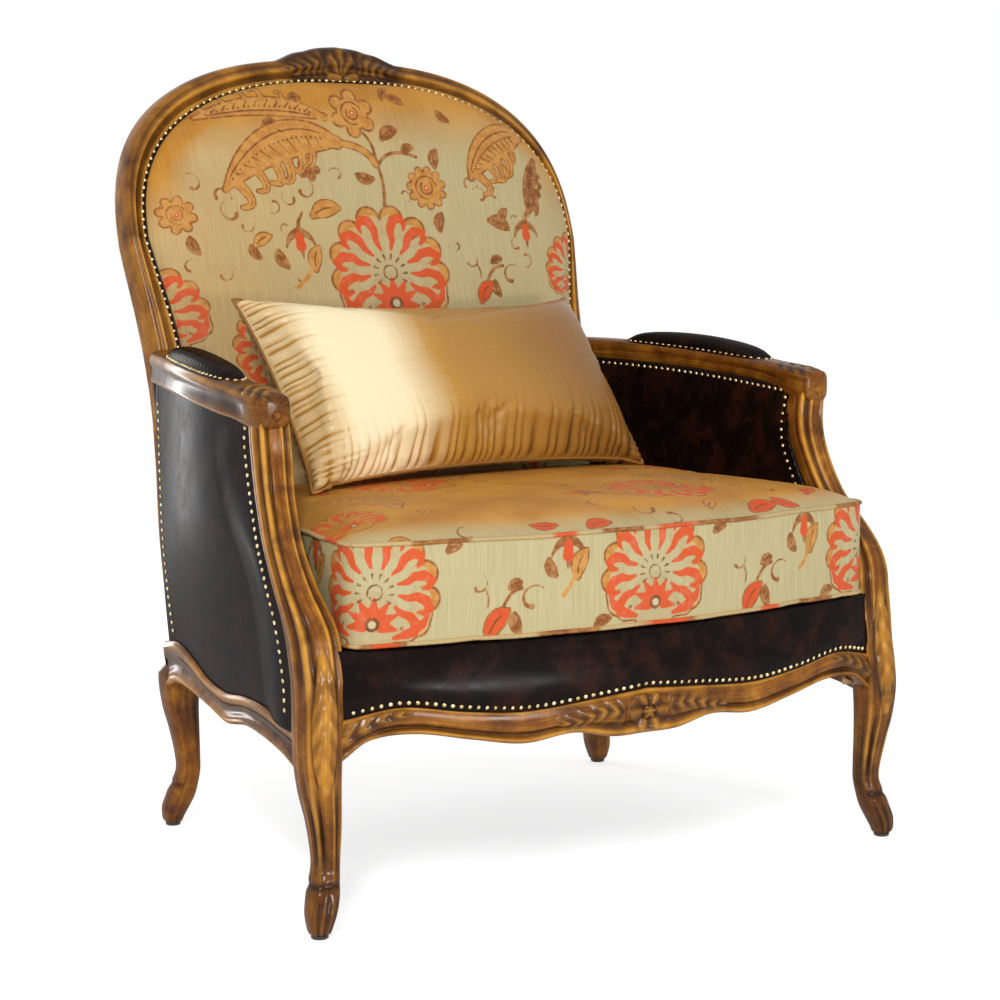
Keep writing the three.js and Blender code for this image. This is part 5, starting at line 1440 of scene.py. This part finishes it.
# Panel of the back: x from its middle, y up from its lower edge. A stem rises from the great
# flower to a round one, with feathered leaves to both sides and buds, leaves and curls between.
def backPattern():
    made = many(flower, [(0.002, 0.43, 0.099, 0.05), (-0.352, 0.372, 0.072, 0.3),
        (-0.196, 0.322, 0.064, 0.2), (0.336, 0.428, 0.06, -0.2), (0.004, 0.2, 0.085, 0.0),
        (0.285, 0.262, 0.066, -0.2)])
    made += many(rose, [(-0.013, 0.669, 0.026, 0.4, 6), (0.086, 0.557, 0.027, 0.2, 11),
        (-0.31, 0.515, 0.021, 0.6, 8)])
    made += many(rose, [(-0.103, 0.583, 0.012, 1.2, 5)], "copper")
    made += many(stem, [((0.01, 0.53), (0.018, 0.565), (0.01, 0.591), 0.0028),
        ((0.01, 0.59), (0.012, 0.632), (-0.01, 0.645), 0.0024),
        ((0.01, 0.586), (0.028, 0.622), (0.078, 0.604), 0.0026),
        ((0.008, 0.592), (-0.004, 0.624), (-0.062, 0.624), 0.0062),
        ((-0.088, 0.606), (-0.108, 0.6), (-0.104, 0.588), 0.002),
        ((0.249, 0.505), (0.262, 0.52), (0.262, 0.545)),
        ((0.15, 0.44), (0.156, 0.432), (0.154, 0.42), 0.0016),
        ((0.158, 0.392), (0.166, 0.438), (0.196, 0.438), 0.0026)])
    made += many(stem, [((0.008, 0.592), (-0.004, 0.624), (-0.062, 0.624), 0.0042),
        ((-0.02, 0.65), (-0.04, 0.662), (-0.07, 0.66), 0.0036),
        ((-0.12, 0.445), (-0.126, 0.425), (-0.15, 0.41), 0.003)], "tan")
    made += many(feather, [((-0.05, 0.624), (-0.15, 0.655), (-0.236, 0.552), 0.027, -1, "tan", 6),
        ((0.276, 0.64), (0.205, 0.64), (0.166, 0.572), 0.024, -1, "tan", 5),
        ((0.292, 0.6), (0.268, 0.566), (0.262, 0.52), 0.01, -1, "copper", 5),
        ((-0.06, 0.662), (-0.15, 0.694), (-0.258, 0.656), 0.013, 1, "tan", 6),
        ((-0.08, 0.33), (-0.085, 0.27), (-0.16, 0.23), 0.018, -1),
        ((0.11, 0.34), (0.13, 0.27), (0.205, 0.235), 0.018, 1)])
    made += many(leaf, [(-0.087, 0.52, 0.044, 0.25), (-0.112, 0.452, 0.034, 1.3),
        (-0.192, 0.478, 0.028, 0.5)])
    made += many(leaf, [(0.04, 0.638, 0.03, 0.5), (-0.014, 0.573, 0.026, 2.9),
        (0.11, 0.602, 0.026, 1.3), (0.1, 0.505, 0.026, 1.3), (0.066, 0.616, 0.018, 0.2),
        (0.052, 0.48, 0.016, 0.4), (-0.166, 0.452, 0.026, 2.0), (-0.206, 0.462, 0.02, 2.2),
        (-0.292, 0.472, 0.024, 2.0), (0.201, 0.501, 0.034, -0.4), (0.212, 0.515, 0.022, 0.9),
        (0.279, 0.535, 0.026, 1.5), (0.18, 0.404, 0.022, 1.8), (0.186, 0.446, 0.018, 0.3),
        (-0.15, 0.65, 0.02, 0.3), (-0.136, 0.642, 0.018, 2.6), (-0.1, 0.69, 0.018, 0.2),
        (0.066, 0.69, 0.022, -0.4), (0.05, 0.7, 0.018, 0.8), (0.14, 0.668, 0.02, 2.4)], "copper")
    made += many(leaf, [(0.16, 0.398, 0.036, 0.9)], "coral")
    made += many(sprig, [(-0.136, 0.49, 0.032, -1.5), (0.249, 0.502, 0.03, -1.6),
        (-0.24, 0.15, 0.03, 1.5), (0.2, 0.12, 0.03, 1.5)])
    made += many(hook, [(-0.116, 0.553, 0.017, 0.8, -1), (-0.14, 0.54, 0.014, 2.6, 1),
        (-0.15, 0.418, 0.011, 3.4, 1), (-0.3, 0.44, 0.014, 0.5, 1), (-0.283, 0.56, 0.016, 1.9, -1),
        (0.24, 0.448, 0.014, 4.4, 1), (0.14, 0.446, 0.015, 1.2, -1), (0.21, 0.422, 0.02, 0.8, 1),
        (-0.232, 0.52, 0.018, 2.2, 1), (-0.214, 0.5, 0.013, 0.4, -1),
        (-0.168, 0.53, 0.014, 4.0, 1), (0.176, 0.545, 0.015, 2.4, -1),
        (0.205, 0.548, 0.013, 0.6, 1), (0.046, 0.545, 0.012, 5.0, 1),
        (-0.06, 0.575, 0.013, 2.8, -1), (0.228, 0.47, 0.013, 1.4, 1),
        (-0.256, 0.43, 0.014, 0.9, -1), (0.118, 0.47, 0.012, 3.2, 1)])
    return made


# Top of the seat: flowers in staggered rows with feathered leaves, curls and sprigs between.
def seatPattern():
    made = []
    rows = [(-0.350, 0.084, 0.056), (-0.150, 0.275, 0.072), (0.112, 0.092, 0.074),
            (0.312, 0.300, 0.068), (0.060, 0.400, 0.060), (-0.330, 0.380, 0.058)]
    for i, (x, y, r) in enumerate(rows):
        made += flower(x, y, r, 0.9 * i)
        made += feather((x + 0.09, y + 0.02), (x + 0.13, y + 0.10), (x + 0.05, y + 0.13), 0.015,
                        1 if i % 2 else -1)
        made += stem((x - 0.05, y - 0.06), (x - 0.11, y - 0.02), (x - 0.12, y + 0.06))
        made += hook(x - 0.105, y + 0.075, 0.020, 0.9 * i, 1 if i % 2 else -1)
        made += sprig(x - 0.115, y - 0.005, 0.028, 2.0 + 0.5 * i)
        made += leaf(x + 0.02, y - 0.095, 0.026, 0.4 * i) + leaf(x + 0.105, y - 0.02, 0.024, 1.2)
    for x, y, turn in ((-0.026, 0.024, 0.4), (0.030, -0.008, 2.4), (0.052, -0.030, 4.0),
                       (-0.240, -0.020, 1.0), (0.246, 0.040, 2.2)):
        made += hook(x, y, 0.018, turn, 1)
    made += many(leaf, [(-0.060, -0.036, 0.034, 0.2), (-0.130, -0.020, 0.030, 2.8),
                        (0.205, -0.018, 0.046, 0.3), (0.246, -0.006, 0.034, 2.6),
                        (0.310, 0.030, 0.034, 0.8)], "coral")
    return made + leaf(0.345, 0.060, 0.030, 2.0)


# Boxing: x along its length, y up from the lower welt.
def boxingPattern(length):
    made = []
    repeat = 0.378
    count = math.ceil(length / repeat / 2)
    for k in range(-count, count + 1):
        x = 0.012 + repeat * k
        made += flower(x, 0.063, 0.082, 0.10 * math.sin(2.1 * k))
        made += hook(x + 0.132, 0.064, 0.014, 1.2, -1)
        made += stem((x + 0.142, 0.058), (x + 0.148, 0.048), (x + 0.145, 0.036), 0.0015)
        made += leaf(x + 0.160, 0.016, 0.042, 0.9, "coral") + hook(x + 0.206, 0.042, 0.020, 0.8, 1)
        made += stem((x + 0.158, 0.010), (x + 0.164, 0.056), (x + 0.192, 0.058), 0.0024)
        made += sprig(x + 0.254, 0.112, 0.030, -1.6) + leaf(x + 0.272, 0.082, 0.034, 1.2, "tan")
        made += stem((x + 0.262, 0.074), (x + 0.260, 0.056), (x + 0.246, 0.044), 0.0028, "tan")
        made += many(leaf, [(x + 0.184, 0.016, 0.024, 1.8), (x + 0.182, 0.062, 0.018, 0.3),
                            (x + 0.232, 0.080, 0.022, 2.0), (x + 0.100, 0.110, 0.018, 0.4),
                            (x + 0.300, 0.008, 0.020, 0.3)], "copper")
    return made


# Inner back

innerBackLook = {"rows": 306, "columns": 306, "bottom": 0.345, "edge": 0.0020, "crown": 0.0430,
                 "thick": 0.020, "lowCrown": 0.42}


# Weights that carry n points to (n - 1) * k + 1 points on a cubic through them.
def finerWeights(n, k):
    at = np.linspace(0, n - 1, (n - 1) * k + 1)
    rows = np.arange(n)
    return np.stack([smoothAt(np.stack([rows, rows == i], 1), at) for i in range(n)], 1)


def finer(grid, k):
    a, b = finerWeights(grid.shape[0], k), finerWeights(grid.shape[1], k)
    return np.einsum("ai,ijc,bj->abc", a, grid, b)


# A grid with its rim turned back and closed behind by a fan: the faces of a panel whose back
# lies hidden.
def cappedForm(front, behind, uv, fields):
    sheet = gridForm(front, uv, fields)
    flat, border, count = sheet["points"], sheet["rim"], len(sheet["rim"])
    rim, after = len(flat) + np.arange(count), np.roll(border, -1)
    nextRim = np.roll(rim, -1)
    quads = np.concatenate([sheet["quads"], np.stack([after, border, rim, nextRim], 1)])
    tris = np.stack([np.full(count, rim[-1] + 1), nextRim, rim], 1)
    folded = flat[border] + behind
    points = np.concatenate([flat, folded, folded.mean(0, keepdims=True)])
    source = np.concatenate([np.arange(len(flat)), border, border[:1]])
    uvFlat = uv.reshape(-1, 2)[source]
    fields = {name: values[source] for name, values in sheet["fields"].items()}
    return form(points, quads, tris, uvFlat[quads], uvFlat[tris], fields)


# Padded back: fills the arch, swells forward of it, fuller above the bend.
def innerBack():
    look = innerBackLook
    up, s = shares(look["rows"], look["columns"], -1)
    up = np.sin(up * np.pi / 2) ** 0.9
    top = back["spring"] + back["innerRise"]
    z = mix(look["bottom"], top, up * 0.9975)
    half = np.where(z < back["waist"], np.minimum(openingHalf(z), innerArmX(arms["backY"])),
                    openingHalf(z)) - 0.0006
    full = mix(look["lowCrown"], 1, rise(look["bottom"], back["bend"], z))
    full = full * np.sqrt((1 - s**4) * (1 - up**8))
    plane = back["faceY"] + math.tan(rake) * (z - back["faceZ"])
    forward = look["edge"] + look["crown"] * full
    front = gridOf(s * half, plane, z) - backward * forward[..., None]
    flat = gridOf(front[..., 0], (front[..., 2] - look["bottom"]) / math.cos(rake))
    fields = patternFields(flat, backPattern())
    # painted sheen: the ground turns gold towards the top, the left and the upper edges
    fields["gilt"] = np.clip(0.10 + 0.90 * rise(0.90, 1.01, z) + 0.30 * rise(0.1, -0.9, s)
                             + 0.8 * rise(0.80, 1.0, np.abs(s)) * rise(0.78, 0.92, z), 0, 1)
    return cappedForm(front, backward * look["thick"], flat, fields)


backPad = makePiece("inner_back_brocade", innerBack(), brocade, replaced=("inner_back",))
print("inner back made")


# Seat cushion

cushion = {"frontHalf": 0.388, "backHalf": 0.346, "backY": 0.474, "bow": 0.052, "corner": 0.024,
           "low": 0.338, "thick": 0.119, "crown": 0.014, "across": 70, "deep": 44, "boxRows": 12,
           "finer": 4, "welt": 0.0028, "weltStep": 0.0028, "pressure": 4.0, "cap": 0.017}


# Points that coincide are joined, each keeping the fields of its first copy; whole says which
# joined point every old point became.
def welded(made):
    keys = np.round(made["points"] * 1e6).astype(np.int64)
    _, first, inverse = np.unique(keys, axis=0, return_index=True, return_inverse=True)
    order = np.argsort(np.argsort(first))
    inverse = order[inverse.ravel()]
    first = np.sort(first)
    return {**made, "points": made["points"][first], "quads": inverse[made["quads"]],
            "tris": inverse[made["tris"]] if len(made["tris"]) else made["tris"],
            "fields": {k: v[first] for k, v in made["fields"].items()}, "whole": inverse}


# Grids welded to one body for the Cloth, and how to cut the body into its grids again.
def roughBody(grids):
    rough = welded(together([gridForm(g, np.zeros((*g.shape[:2], 2))) for g in grids]))
    ends = np.cumsum([g[..., 0].size for g in grids])[:-1]

    def apart(points):
        cut = np.split(points[rough["whole"]], ends)
        return [piece.reshape(grid.shape) for piece, grid in zip(cut, grids)]

    return rough, apart


# Air pressure swells a closed form like stuffing: Cloth, no gravity, no point moving past the cap.
def inflate(points, quads, pressure, cap, stiffness=18.0, frames=20):
    mesh = bpy.data.meshes.new("stuffing")
    mesh.from_pydata(points.tolist(), [], quads.tolist())
    piece = bpy.data.objects.new("stuffing", mesh)
    scene.collection.objects.link(piece)
    cloth = piece.modifiers.new("cloth", "CLOTH")
    settings = cloth.settings
    settings.quality = 6
    settings.mass = 0.3
    settings.use_pressure = True
    settings.uniform_pressure_force = pressure
    settings.effector_weights.gravity = 0
    settings.tension_stiffness = settings.compression_stiffness = stiffness
    settings.shear_stiffness = stiffness / 3
    settings.bending_stiffness = 0.6
    cloth.point_cache.frame_start, cloth.point_cache.frame_end = 1, frames
    for frame in range(1, frames + 1):
        scene.frame_set(frame)
    result = piece.evaluated_get(bpy.context.evaluated_depsgraph_get()).to_mesh()
    swollen = np.empty(len(points) * 3)
    result.vertices.foreach_get("co", swollen)
    bpy.data.objects.remove(piece)
    bpy.data.meshes.remove(mesh)
    scene.frame_set(1)
    move = swollen.reshape(-1, 3) - points
    far = np.linalg.norm(move, axis=1, keepdims=True)
    return points + move * np.minimum(1, cap / np.maximum(far, 1e-9))


# Cushion's outline from its left front corner, in four sides: front, right, back and left.
def cushionSides():
    look = cushion
    r, front, rear = look["corner"], look["frontHalf"], look["backHalf"]
    dip = r * 0.2

    rightCorner = ((front - r, -dip), (front, 0), (front, r))
    backCorner = ((rear, look["backY"] - r), (rear, look["backY"]), (rear - r, look["backY"]))
    bowed = curve((r - front, -dip), (0, dip - 2 * look["bow"]), (front - r, -dip), 80)
    first, second, third, fourth = (curve(*corner, 14, low, low + 0.5)
                                    for corner in (rightCorner, backCorner) for low in (0, 0.5))
    flip = np.array([-1, 1])
    frontLine = np.concatenate([first[::-1] * flip, bowed[1:-1], first])
    rightLine = np.concatenate([second, third])
    backLine = np.concatenate([fourth, fourth[::-1] * flip])
    sides = []
    for line, count in ((frontLine, look["across"]), (rightLine, look["deep"]),
                        (backLine, look["across"]), (rightLine[::-1] * flip, look["deep"])):
        length = lengthsOf(line)
        sides.append(valuesAt(np.linspace(0, length[-1], count + 1), length, line))
    return sides


# Surface between four border lines: the two ruled surfaces less the bilinear one.
def between(low, high, left, right):
    n, m = len(left), len(low)
    s, t = np.linspace(0, 1, m)[None, :, None], np.linspace(0, 1, n)[:, None, None]
    ruled = mix(low[None], high[None], t) + mix(left[:, None], right[:, None], s)
    corners = mix(mix(low[0], low[-1], s), mix(high[0], high[-1], s), t)
    return ruled - corners


# Boxed cushion: domed top, flat underside, walls of boxing round the sides. Cloth swells a
# coarse body, whose grids are then made finer, patterned and welded. Also gives its two edges.
def makeCushion():
    look = cushion
    front, right, rear, left = cushionSides()
    plan = between(front, rear[::-1], left[::-1], right)
    rows, columns, _ = plan.shape
    s = np.linspace(-1, 1, columns)[None]
    t = np.linspace(-1, 1, rows)[:, None]
    dome = (1 - np.abs(s) ** 4) * (1 - np.abs(t) ** 4)
    topZ, lowZ = look["low"] + look["thick"], look["low"]
    top = np.dstack([plan, topZ + look["crown"] * dome])
    low = np.dstack([plan, lowZ - 0.003 * dome])
    up = np.linspace(0, 1, look["boxRows"] + 1)
    walls = [gridOf(*line.T[:, None], mix(lowZ, topZ, up)[:, None])
             for line in (front, right, rear, left)]
    rough, apart = roughBody([top, low[:, ::-1], *walls])
    swollen = inflate(rough["points"], rough["quads"], look["pressure"], look["cap"])
    # the corded edges keep the cushion's plan: spans of the corners before over after
    rim = np.isin(np.round(rough["points"][:, 2], 6), np.round([topZ, lowZ], 6))
    for i in (0, 1):
        want, got = rough["points"][rim, i], swollen[rim, i]
        swollen[:, i] = want.min() + (swollen[:, i] - got.min()) * np.ptp(want) / np.ptp(got)
    # the underside lies flat on the deck
    swollen[:, 2] = np.maximum(swollen[:, 2], seat["deckTop"] + 0.0005)
    top, under, *walls = apart(swollen)

    k = look["finer"]
    flat = finer(plan, k)
    fields = patternFields(flat, seatPattern())
    fromFront = np.linspace(0, 1, flat.shape[0])[:, None] * look["backY"]
    # painted sheen: gold over the top, paler in a narrow band behind the front edge
    fields["gilt"] = 0.15 + 0.85 * rise(0.004, 0.055, fromFront)
    flatLow = finer(plan[:, ::-1], k)
    # the underside takes an even painted sheen of 0.5
    forms = [gridForm(finer(top, k), flat, fields),
             gridForm(finer(under, k), flatLow, plainCloth(flatLow.shape[:2], gilt=0.5))]
    # the boxing's pattern is centred on the front, and its seam is at the rear left corner
    start, middle = 0.0, lengthsOf(front)[-1] / 2
    walls = [finer(wall, k) for wall in walls]
    for line, wall in zip((front, right, rear, left), walls):
        along = start + lengthsOf(line)
        start = along[-1]
        along = along - (along[-1] if line is left else 0) - middle
        flat = finer(gridOf(along[None], (up * look["thick"])[:, None]), k)
        forms.append(gridForm(wall, flat, patternFields(flat, boxingPattern(3.0))))
    loops = [np.concatenate([wall[row, :-1] for wall in walls]) for row in (0, -1)]
    return outward(welded(together(forms))), loops


shape, loops = makeCushion()
seatPad = makePiece("seat_cushion_brocade", shape, brocade, body="seat_cushion",
                    replaced=("seat_cushion",))
welts = together([tubeForm(loop, cushion["welt"], closed=True) for loop in loops])
# flecks of copper and coral along the welts
beat = np.arange(len(welts["points"])) // cordSides * cushion["weltStep"]
# the welts take an even painted sheen of 0.3
welts["fields"] = {**plainCloth(len(welts["points"]), gilt=0.3),
                   "copper": 0.004 * np.sin(31 * beat + np.sin(17 * beat)) - 0.001,
                   "coral": 0.004 * np.sin(23 * beat + 2 * np.sin(11 * beat)) - 0.0030}
makePiece("seat_cushion_welts", welts, brocade, body="seat_cushion")
print("seat cushion made")


# Lumbar pillow

pillow = {"wide": 0.580, "high": 0.300, "thick": 0.112, "edge": 0.003, "drawIn": 0.012,
          "power": 0.62, "place": (-0.016, 0.398), "yaw": 8.0, "lean": 36.0, "across": 60,
          "up": 34, "finer": 5, "pressure": 3.0, "cap": 0.016, "piping": 0.0022,
          "gather": 0.0070, "droop": 0.014, "pitchLow": 0.0165, "pitchSide": 0.0115}


# Two panels, plump between knife edges that draw in between the corners; short folds run in
# from the lower and left seams.
def makePillow():
    look = pillow
    s = np.linspace(-1, 1, look["across"] + 1)[None]
    t = np.linspace(-1, 1, look["up"] + 1)[:, None]
    plump = ((1 - np.abs(s) ** 4) * (1 - np.abs(t) ** 3)) ** look["power"]
    x = s * (look["wide"] / 2 - look["drawIn"] * (1 - t**2))
    z = t * (look["high"] / 2 - look["drawIn"] * (1 - s**2))
    depth = (look["thick"] * 0.94) / 2 * plump
    faces = [gridOf(x, side * depth, z) for side in (-1, 1)]
    rough, apart = roughBody(faces)
    half = len(rough["quads"]) // 2
    quads = np.concatenate([rough["quads"][:half], rough["quads"][half:, ::-1]])
    swollen = inflate(rough["points"], quads, look["pressure"], look["cap"], 12.0)
    for i in (0, 2):
        swollen[:, i] *= np.ptp(rough["points"][:, i]) / np.ptp(swollen[:, i])
    forms, k = [], look["finer"]
    sf = np.linspace(-1, 1, look["across"] * k + 1)[None]
    tf = np.linspace(-1, 1, look["up"] * k + 1)[:, None]
    for side, face in zip((-1, 1), apart(swollen)):
        grid = finer(face, k)
        fromLow = (1 + tf) * look["high"] / 2
        fromLeft = (1 + sf) * look["wide"] / 2
        fromTop, fromRight = (1 - tf) * look["high"] / 2, (1 - sf) * look["wide"] / 2
        # rounded ridges between sharp valleys, their pitch and reach uneven
        alongLow = fromLeft / look["pitchLow"] + 0.55 * np.sin(sf * 9) + 0.25 * np.sin(sf * 31)
        alongSide = fromLow / look["pitchSide"] + 0.45 * np.sin(tf * 7) + 0.2 * np.sin(tf * 29)
        foldA = np.abs(np.sin(np.pi * alongLow)) ** 0.7 - 0.6
        foldB = np.abs(np.sin(np.pi * alongSide)) ** 0.7 - 0.6
        reachA = 0.042 * (1 + 0.35 * np.sin(alongLow * 2.4 + 1))
        reachB = 0.036 * (1 + 0.40 * np.sin(alongSide * 2.1 + 2))
        folds = (foldA * np.exp(-((fromLow / reachA) ** 1.6)) * rise(0, 0.005, fromLow)
                 + foldB * np.exp(-((fromLeft / reachB) ** 1.6)) * rise(0, 0.005, fromLeft)
                 + 0.3 * foldA * np.exp(-((fromTop / 0.014) ** 1.6)) * rise(0, 0.005, fromTop)
                 + 0.5 * foldB * np.exp(-((fromRight / 0.022) ** 1.6)) * rise(0, 0.005, fromRight))
        out = np.cross(np.gradient(grid, axis=1), np.gradient(grid, axis=0)) * -side
        grid += look["gather"] * folds[..., None] * unit(out)
        grid[..., 2] -= look["droop"] * ((1 + sf) / 2) ** 2 * ((1 + tf) / 2) ** 2
        uv = gridOf(sf * look["wide"] / 2, tf * look["high"] / 2)
        # painted shade laid in the valleys of the folds
        forms.append(gridForm(grid, uv, {"fold": np.clip(-2.2 * folds, 0, 1)}))
    loop = forms[0]["points"][forms[0]["rim"]]
    shape = welded(together([forms[0], flipped(forms[1])]))
    lean, yaw = math.radians(look["lean"]), math.radians(look["yaw"])
    turn = np.array((Matrix.Rotation(yaw, 3, "Z") @ Matrix.Rotation(-lean, 3, "X")).transposed())
    points = shape["points"] @ turn
    place = [*look["place"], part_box("lumbar_pillow")[0].z + 0.002 - points[:, 2].min()]
    return outward({**shape, "points": points + place}), loop @ turn + place


shape, loop = makePillow()
pillowPad = makePiece("lumbar_pillow_silk", shape, silk, body="lumbar_pillow",
                      replaced=("lumbar_pillow",))
makePiece("lumbar_pillow_piping", tubeForm(loop, pillow["piping"], closed=True), silk,
          body="lumbar_pillow")
print("lumbar pillow made")


# Nails

# Domed heads set on places with the given directions: a low dome of three rings.
def nailForm(places, normals):
    turn = np.radians([0, 38, 66])
    angle = np.arange(nailing["sides"]) * 2 * np.pi / nailing["sides"]
    turn = turn[:, None]
    ring = gridOf(np.cos(turn) * np.cos(angle), np.cos(turn) * np.sin(angle), np.sin(turn))
    ring = ring.reshape(-1, 3)
    shape = np.concatenate([ring, [[0, 0, 1], [0, 0, 0]]])
    shape = shape * [nailing["radius"], nailing["radius"], nailing["proud"]]
    n, k = len(places), len(angle)
    normals = unit(normals)
    helper = np.where(np.abs(normals[:, 2:]) > 0.8, [[1.0, 0, 0]], [[0, 0, 1.0]])
    across = unit(np.cross(helper, normals))
    upward = np.cross(normals, across)
    points = (places[:, None] + shape[None, :, :1] * across[:, None]
              + shape[None, :, 1:2] * upward[:, None] + shape[None, :, 2:] * normals[:, None])
    index = np.arange(3 * k).reshape(3, k)
    after = np.roll(index, -1, 1)
    quads = np.stack([index[:-1], after[:-1], after[1:], index[1:]], -1).reshape(-1, 4)
    tris = np.concatenate([np.stack([index[2], after[2], np.full(k, 3 * k)], 1),
                           np.stack([after[0], index[0], np.full(k, 3 * k + 1)], 1)])
    step = np.arange(n)[:, None, None] * len(shape)
    quads, tris = (quads[None] + step).reshape(-1, 4), (tris[None] + step).reshape(-1, 3)
    points = points.reshape(-1, 3)
    return form(points, quads, tris, points[quads][..., :2], points[tris][..., :2])


# Normals of a surface at shares a and b of it, from the steps to its neighbours.
def surfaceNormal(surface, a, b, away, step=1e-3):
    da = surface(a + step, b) - surface(a - step, b)
    db = surface(a, b + step) - surface(a, b - step)
    normal = unit(np.cross(da, db))
    return normal * np.sign((normal * away).sum(-1, keepdims=True))


# Nails along a line of shares a and b on a surface.
def nailRow(surface, a, b, away):
    normals = surfaceNormal(surface, a, b, np.array(away))
    return nailForm(*evenly(surface(a, b), nailing["pitch"], normals))


# A line up the right stile from a height, round the arch and down the left one, moved outward
# from its inner edge by inset.
def archPath(low, count, inset):
    z = np.linspace(low, back["spring"], count)
    stile = gridOf(backInner(z) + inset, backFace(z), z)
    arch = innerArch(np.linspace(0, np.pi / 2, 160)[1:], inset)
    half = np.concatenate([stile, arch])
    return np.concatenate([half, half[-2::-1] * [-1, 1, 1]])


# Round the back: on the inner bead of the frame, over a narrow dark gimp that also stands in for
# the shade along the brocade's edge.
places = evenly(archPath(0.640, 120, 0.0022) - backward * 0.0012, nailing["pitch"])
makePiece("back_nails", nailForm(places, np.broadcast_to(-backward, places.shape)), brass)
gimp = evenly(archPath(0.640, 120, -0.0010) - backward * 0.0010, 0.006)
makePiece("back_gimp_and_shade", tubeForm(gimp, nailing["gimp"]), leather)

# Along the foot of the front border, just above the rail.
x = np.linspace(-0.392, 0.392, 400)
row = nailRow(frontBorderSurface, 0.0075 / (seat["deckTop"] - borderLow(x)),
              (x / upholstery["borderHalf"] + 1) / 2, [0, -1, 0.3])
makePiece("front_nails", row, brass)


# Inner arm: up the post and back under the arm rail.
def innerNails():
    low = seat["deckTop"] - seat["deckThick"]
    z = np.linspace(0.350, 0.592, 80)
    nailY = frontPostLine(z)[1] + innerFit["post"] + innerFit["nailPost"]
    up = (z - low) / (armLow(nailY) + innerFit["tuck"] - low)
    start, end = innerArmSpan(mix(low, arms["top"], up))
    post = nailRow(innerArmSurface, up, innerFit["nailPost"] / (end - start), [-1, 0, 0])
    y = np.linspace(0.170, 0.545, 120)
    up = (armLow(y) - innerFit["nailTop"] - low) / (armLow(y) + innerFit["tuck"] - low)
    start, end = innerArmSpan(mix(low, arms["top"], up))
    return together([post, nailRow(innerArmSurface, up, (y - start) / (end - start), [-1, 0, 0])])


# Outer arm: up behind the front post, and up in front of the stile.
def outerNails():
    z = np.linspace(0.262, 0.588, 110)
    top = arms["top"] - arms["deep"] / 2
    up = (z - rails["top"]) / (top - rails["top"])
    level = mix(rails["top"], top, up)
    _, postY, postHalf = frontPostLine(level)
    rear = backFace(level) + back["depth"] / 2
    made = []
    for y in (postY + postHalf + 0.0045, backFace(level) - 0.004):
        along = (y - postY) / (rear - postY)
        keep = outerArmSurface(up, along)[:, 2] > 0.255
        made.append(nailRow(outerArmSurface, up[keep], along[keep], [1, 0, 0]))
    return together(made)


# Arm pad: all round its foot, on the top of the arm.
def padNails():
    turn = np.linspace(0, 2 * np.pi, 300)
    cos, sin = np.cos(turn), np.sin(turn)
    t = 0.5 - 0.5 * np.sign(cos) * np.abs(cos) ** 0.55 * 1.03
    y = mix(upholstery["padStart"], upholstery["padEnd"], t)
    x, _, z = armLine(armShare(y))
    plan = (1 - np.clip(np.abs(2 * t - 1), 0, 1) ** 5) ** 0.5
    wide = upholstery["padHalf"] * mix(0.35, 1, plan) + 0.0012
    wide = wide * np.sign(sin) * np.abs(sin) ** 0.35
    path = gridOf(x + wide, y, z + arms["deep"] / 2 - 0.0006)
    places = evenly(path, nailing["pitch"])
    return nailForm(places, np.broadcast_to([0, 0, 1.0], places.shape))


makePair("inner_arm_nails", innerNails(), brass)
makePair("outer_arm_nails", outerNails(), brass)
makePair("arm_pad_nails", padNails(), brass)

# Round the outer back, on the leather's edge.
path = archPath(0.290, 150, -0.006)
normals = backNormal(path[:, 2])
places, normals = evenly(path + normals * (back["depth"] - 0.0012), nailing["pitch"], normals)
makePiece("outer_back_nails", nailForm(places, normals), brass)
print("nails made")


# Inside the seat

deckFit = {"front": 0.0246, "rear": 0.0225, "side": 0.0007, "roll": 0.008, "drop": 0.004}


# Deck: firm cloth over the springs, its edges rounded down.
def seatDeck():
    t, s = shares(90, 120, -1)
    start = frontRailY(s * (innerArmX(arms["frontY"]) - deckFit["side"])) + deckFit["front"]
    y = mix(start, backFace(seat["deckTop"]) - deckFit["rear"], t)
    half = innerArmX(np.maximum(y, arms["frontY"])) - deckFit["side"]
    roll = np.minimum(np.minimum(t, 1 - t) * 0.48, (1 - np.abs(s)) * 0.38)
    drop = deckFit["drop"] * (1 - np.clip(roll / deckFit["roll"], 0, 1)) ** 2
    ripple = 0.00024 * np.sin(s * 46) * np.sin(t * 37)
    top = gridOf(s * half, y, seat["deckTop"] - 0.0004 - drop + ripple)
    low = gridOf(s * half, y, seat["deckTop"] - seat["deckThick"])
    return panelForm(top, low)


deck = makePiece("seat_deck_cloth", seatDeck(), cambric, replaced=("seat_deck",))


dust = {"frontHalf": 0.411, "rearHalf": 0.335, "rearY": 0.529, "level": 0.2318, "sag": 0.0011,
        "thick": 0.0009, "blockHalf": 0.395, "blockY": 0.056}   # cut off at the front blocks


# Dust cover: thin cloth stretched inside the rails, a little slack between them.
def dustCover():
    t, s = shares(60, 90, -1)
    x = s * mix(dust["frontHalf"], dust["rearHalf"], t)
    start = frontRailY(x) + rails["thick"] + 0.001
    start = np.where(np.abs(x) > dust["blockHalf"], dust["blockY"], start)
    sag = dust["sag"] * np.sin(np.pi * t) * (1 - s**2)
    top = gridOf(x, mix(start, dust["rearY"], t), dust["level"] - sag)
    return panelForm(top, top - [0, 0, dust["thick"]])


cover = makePiece("dust_cover_cloth", dustCover(), cambric, replaced=("dust_cover",))

for name, node in frame["nodes"].items():
    for prefix, finish in (("rear_rail", walnut), ("back_cross_rail", beech),
                           ("seat_webbing", jute), ("seat_spring", steel),
                           ("corner_block", beech), ("glide", nylon)):
        if name.startswith(prefix):
            for slot in node.material_slots:
                slot.material = finish
print("inside of the seat made")
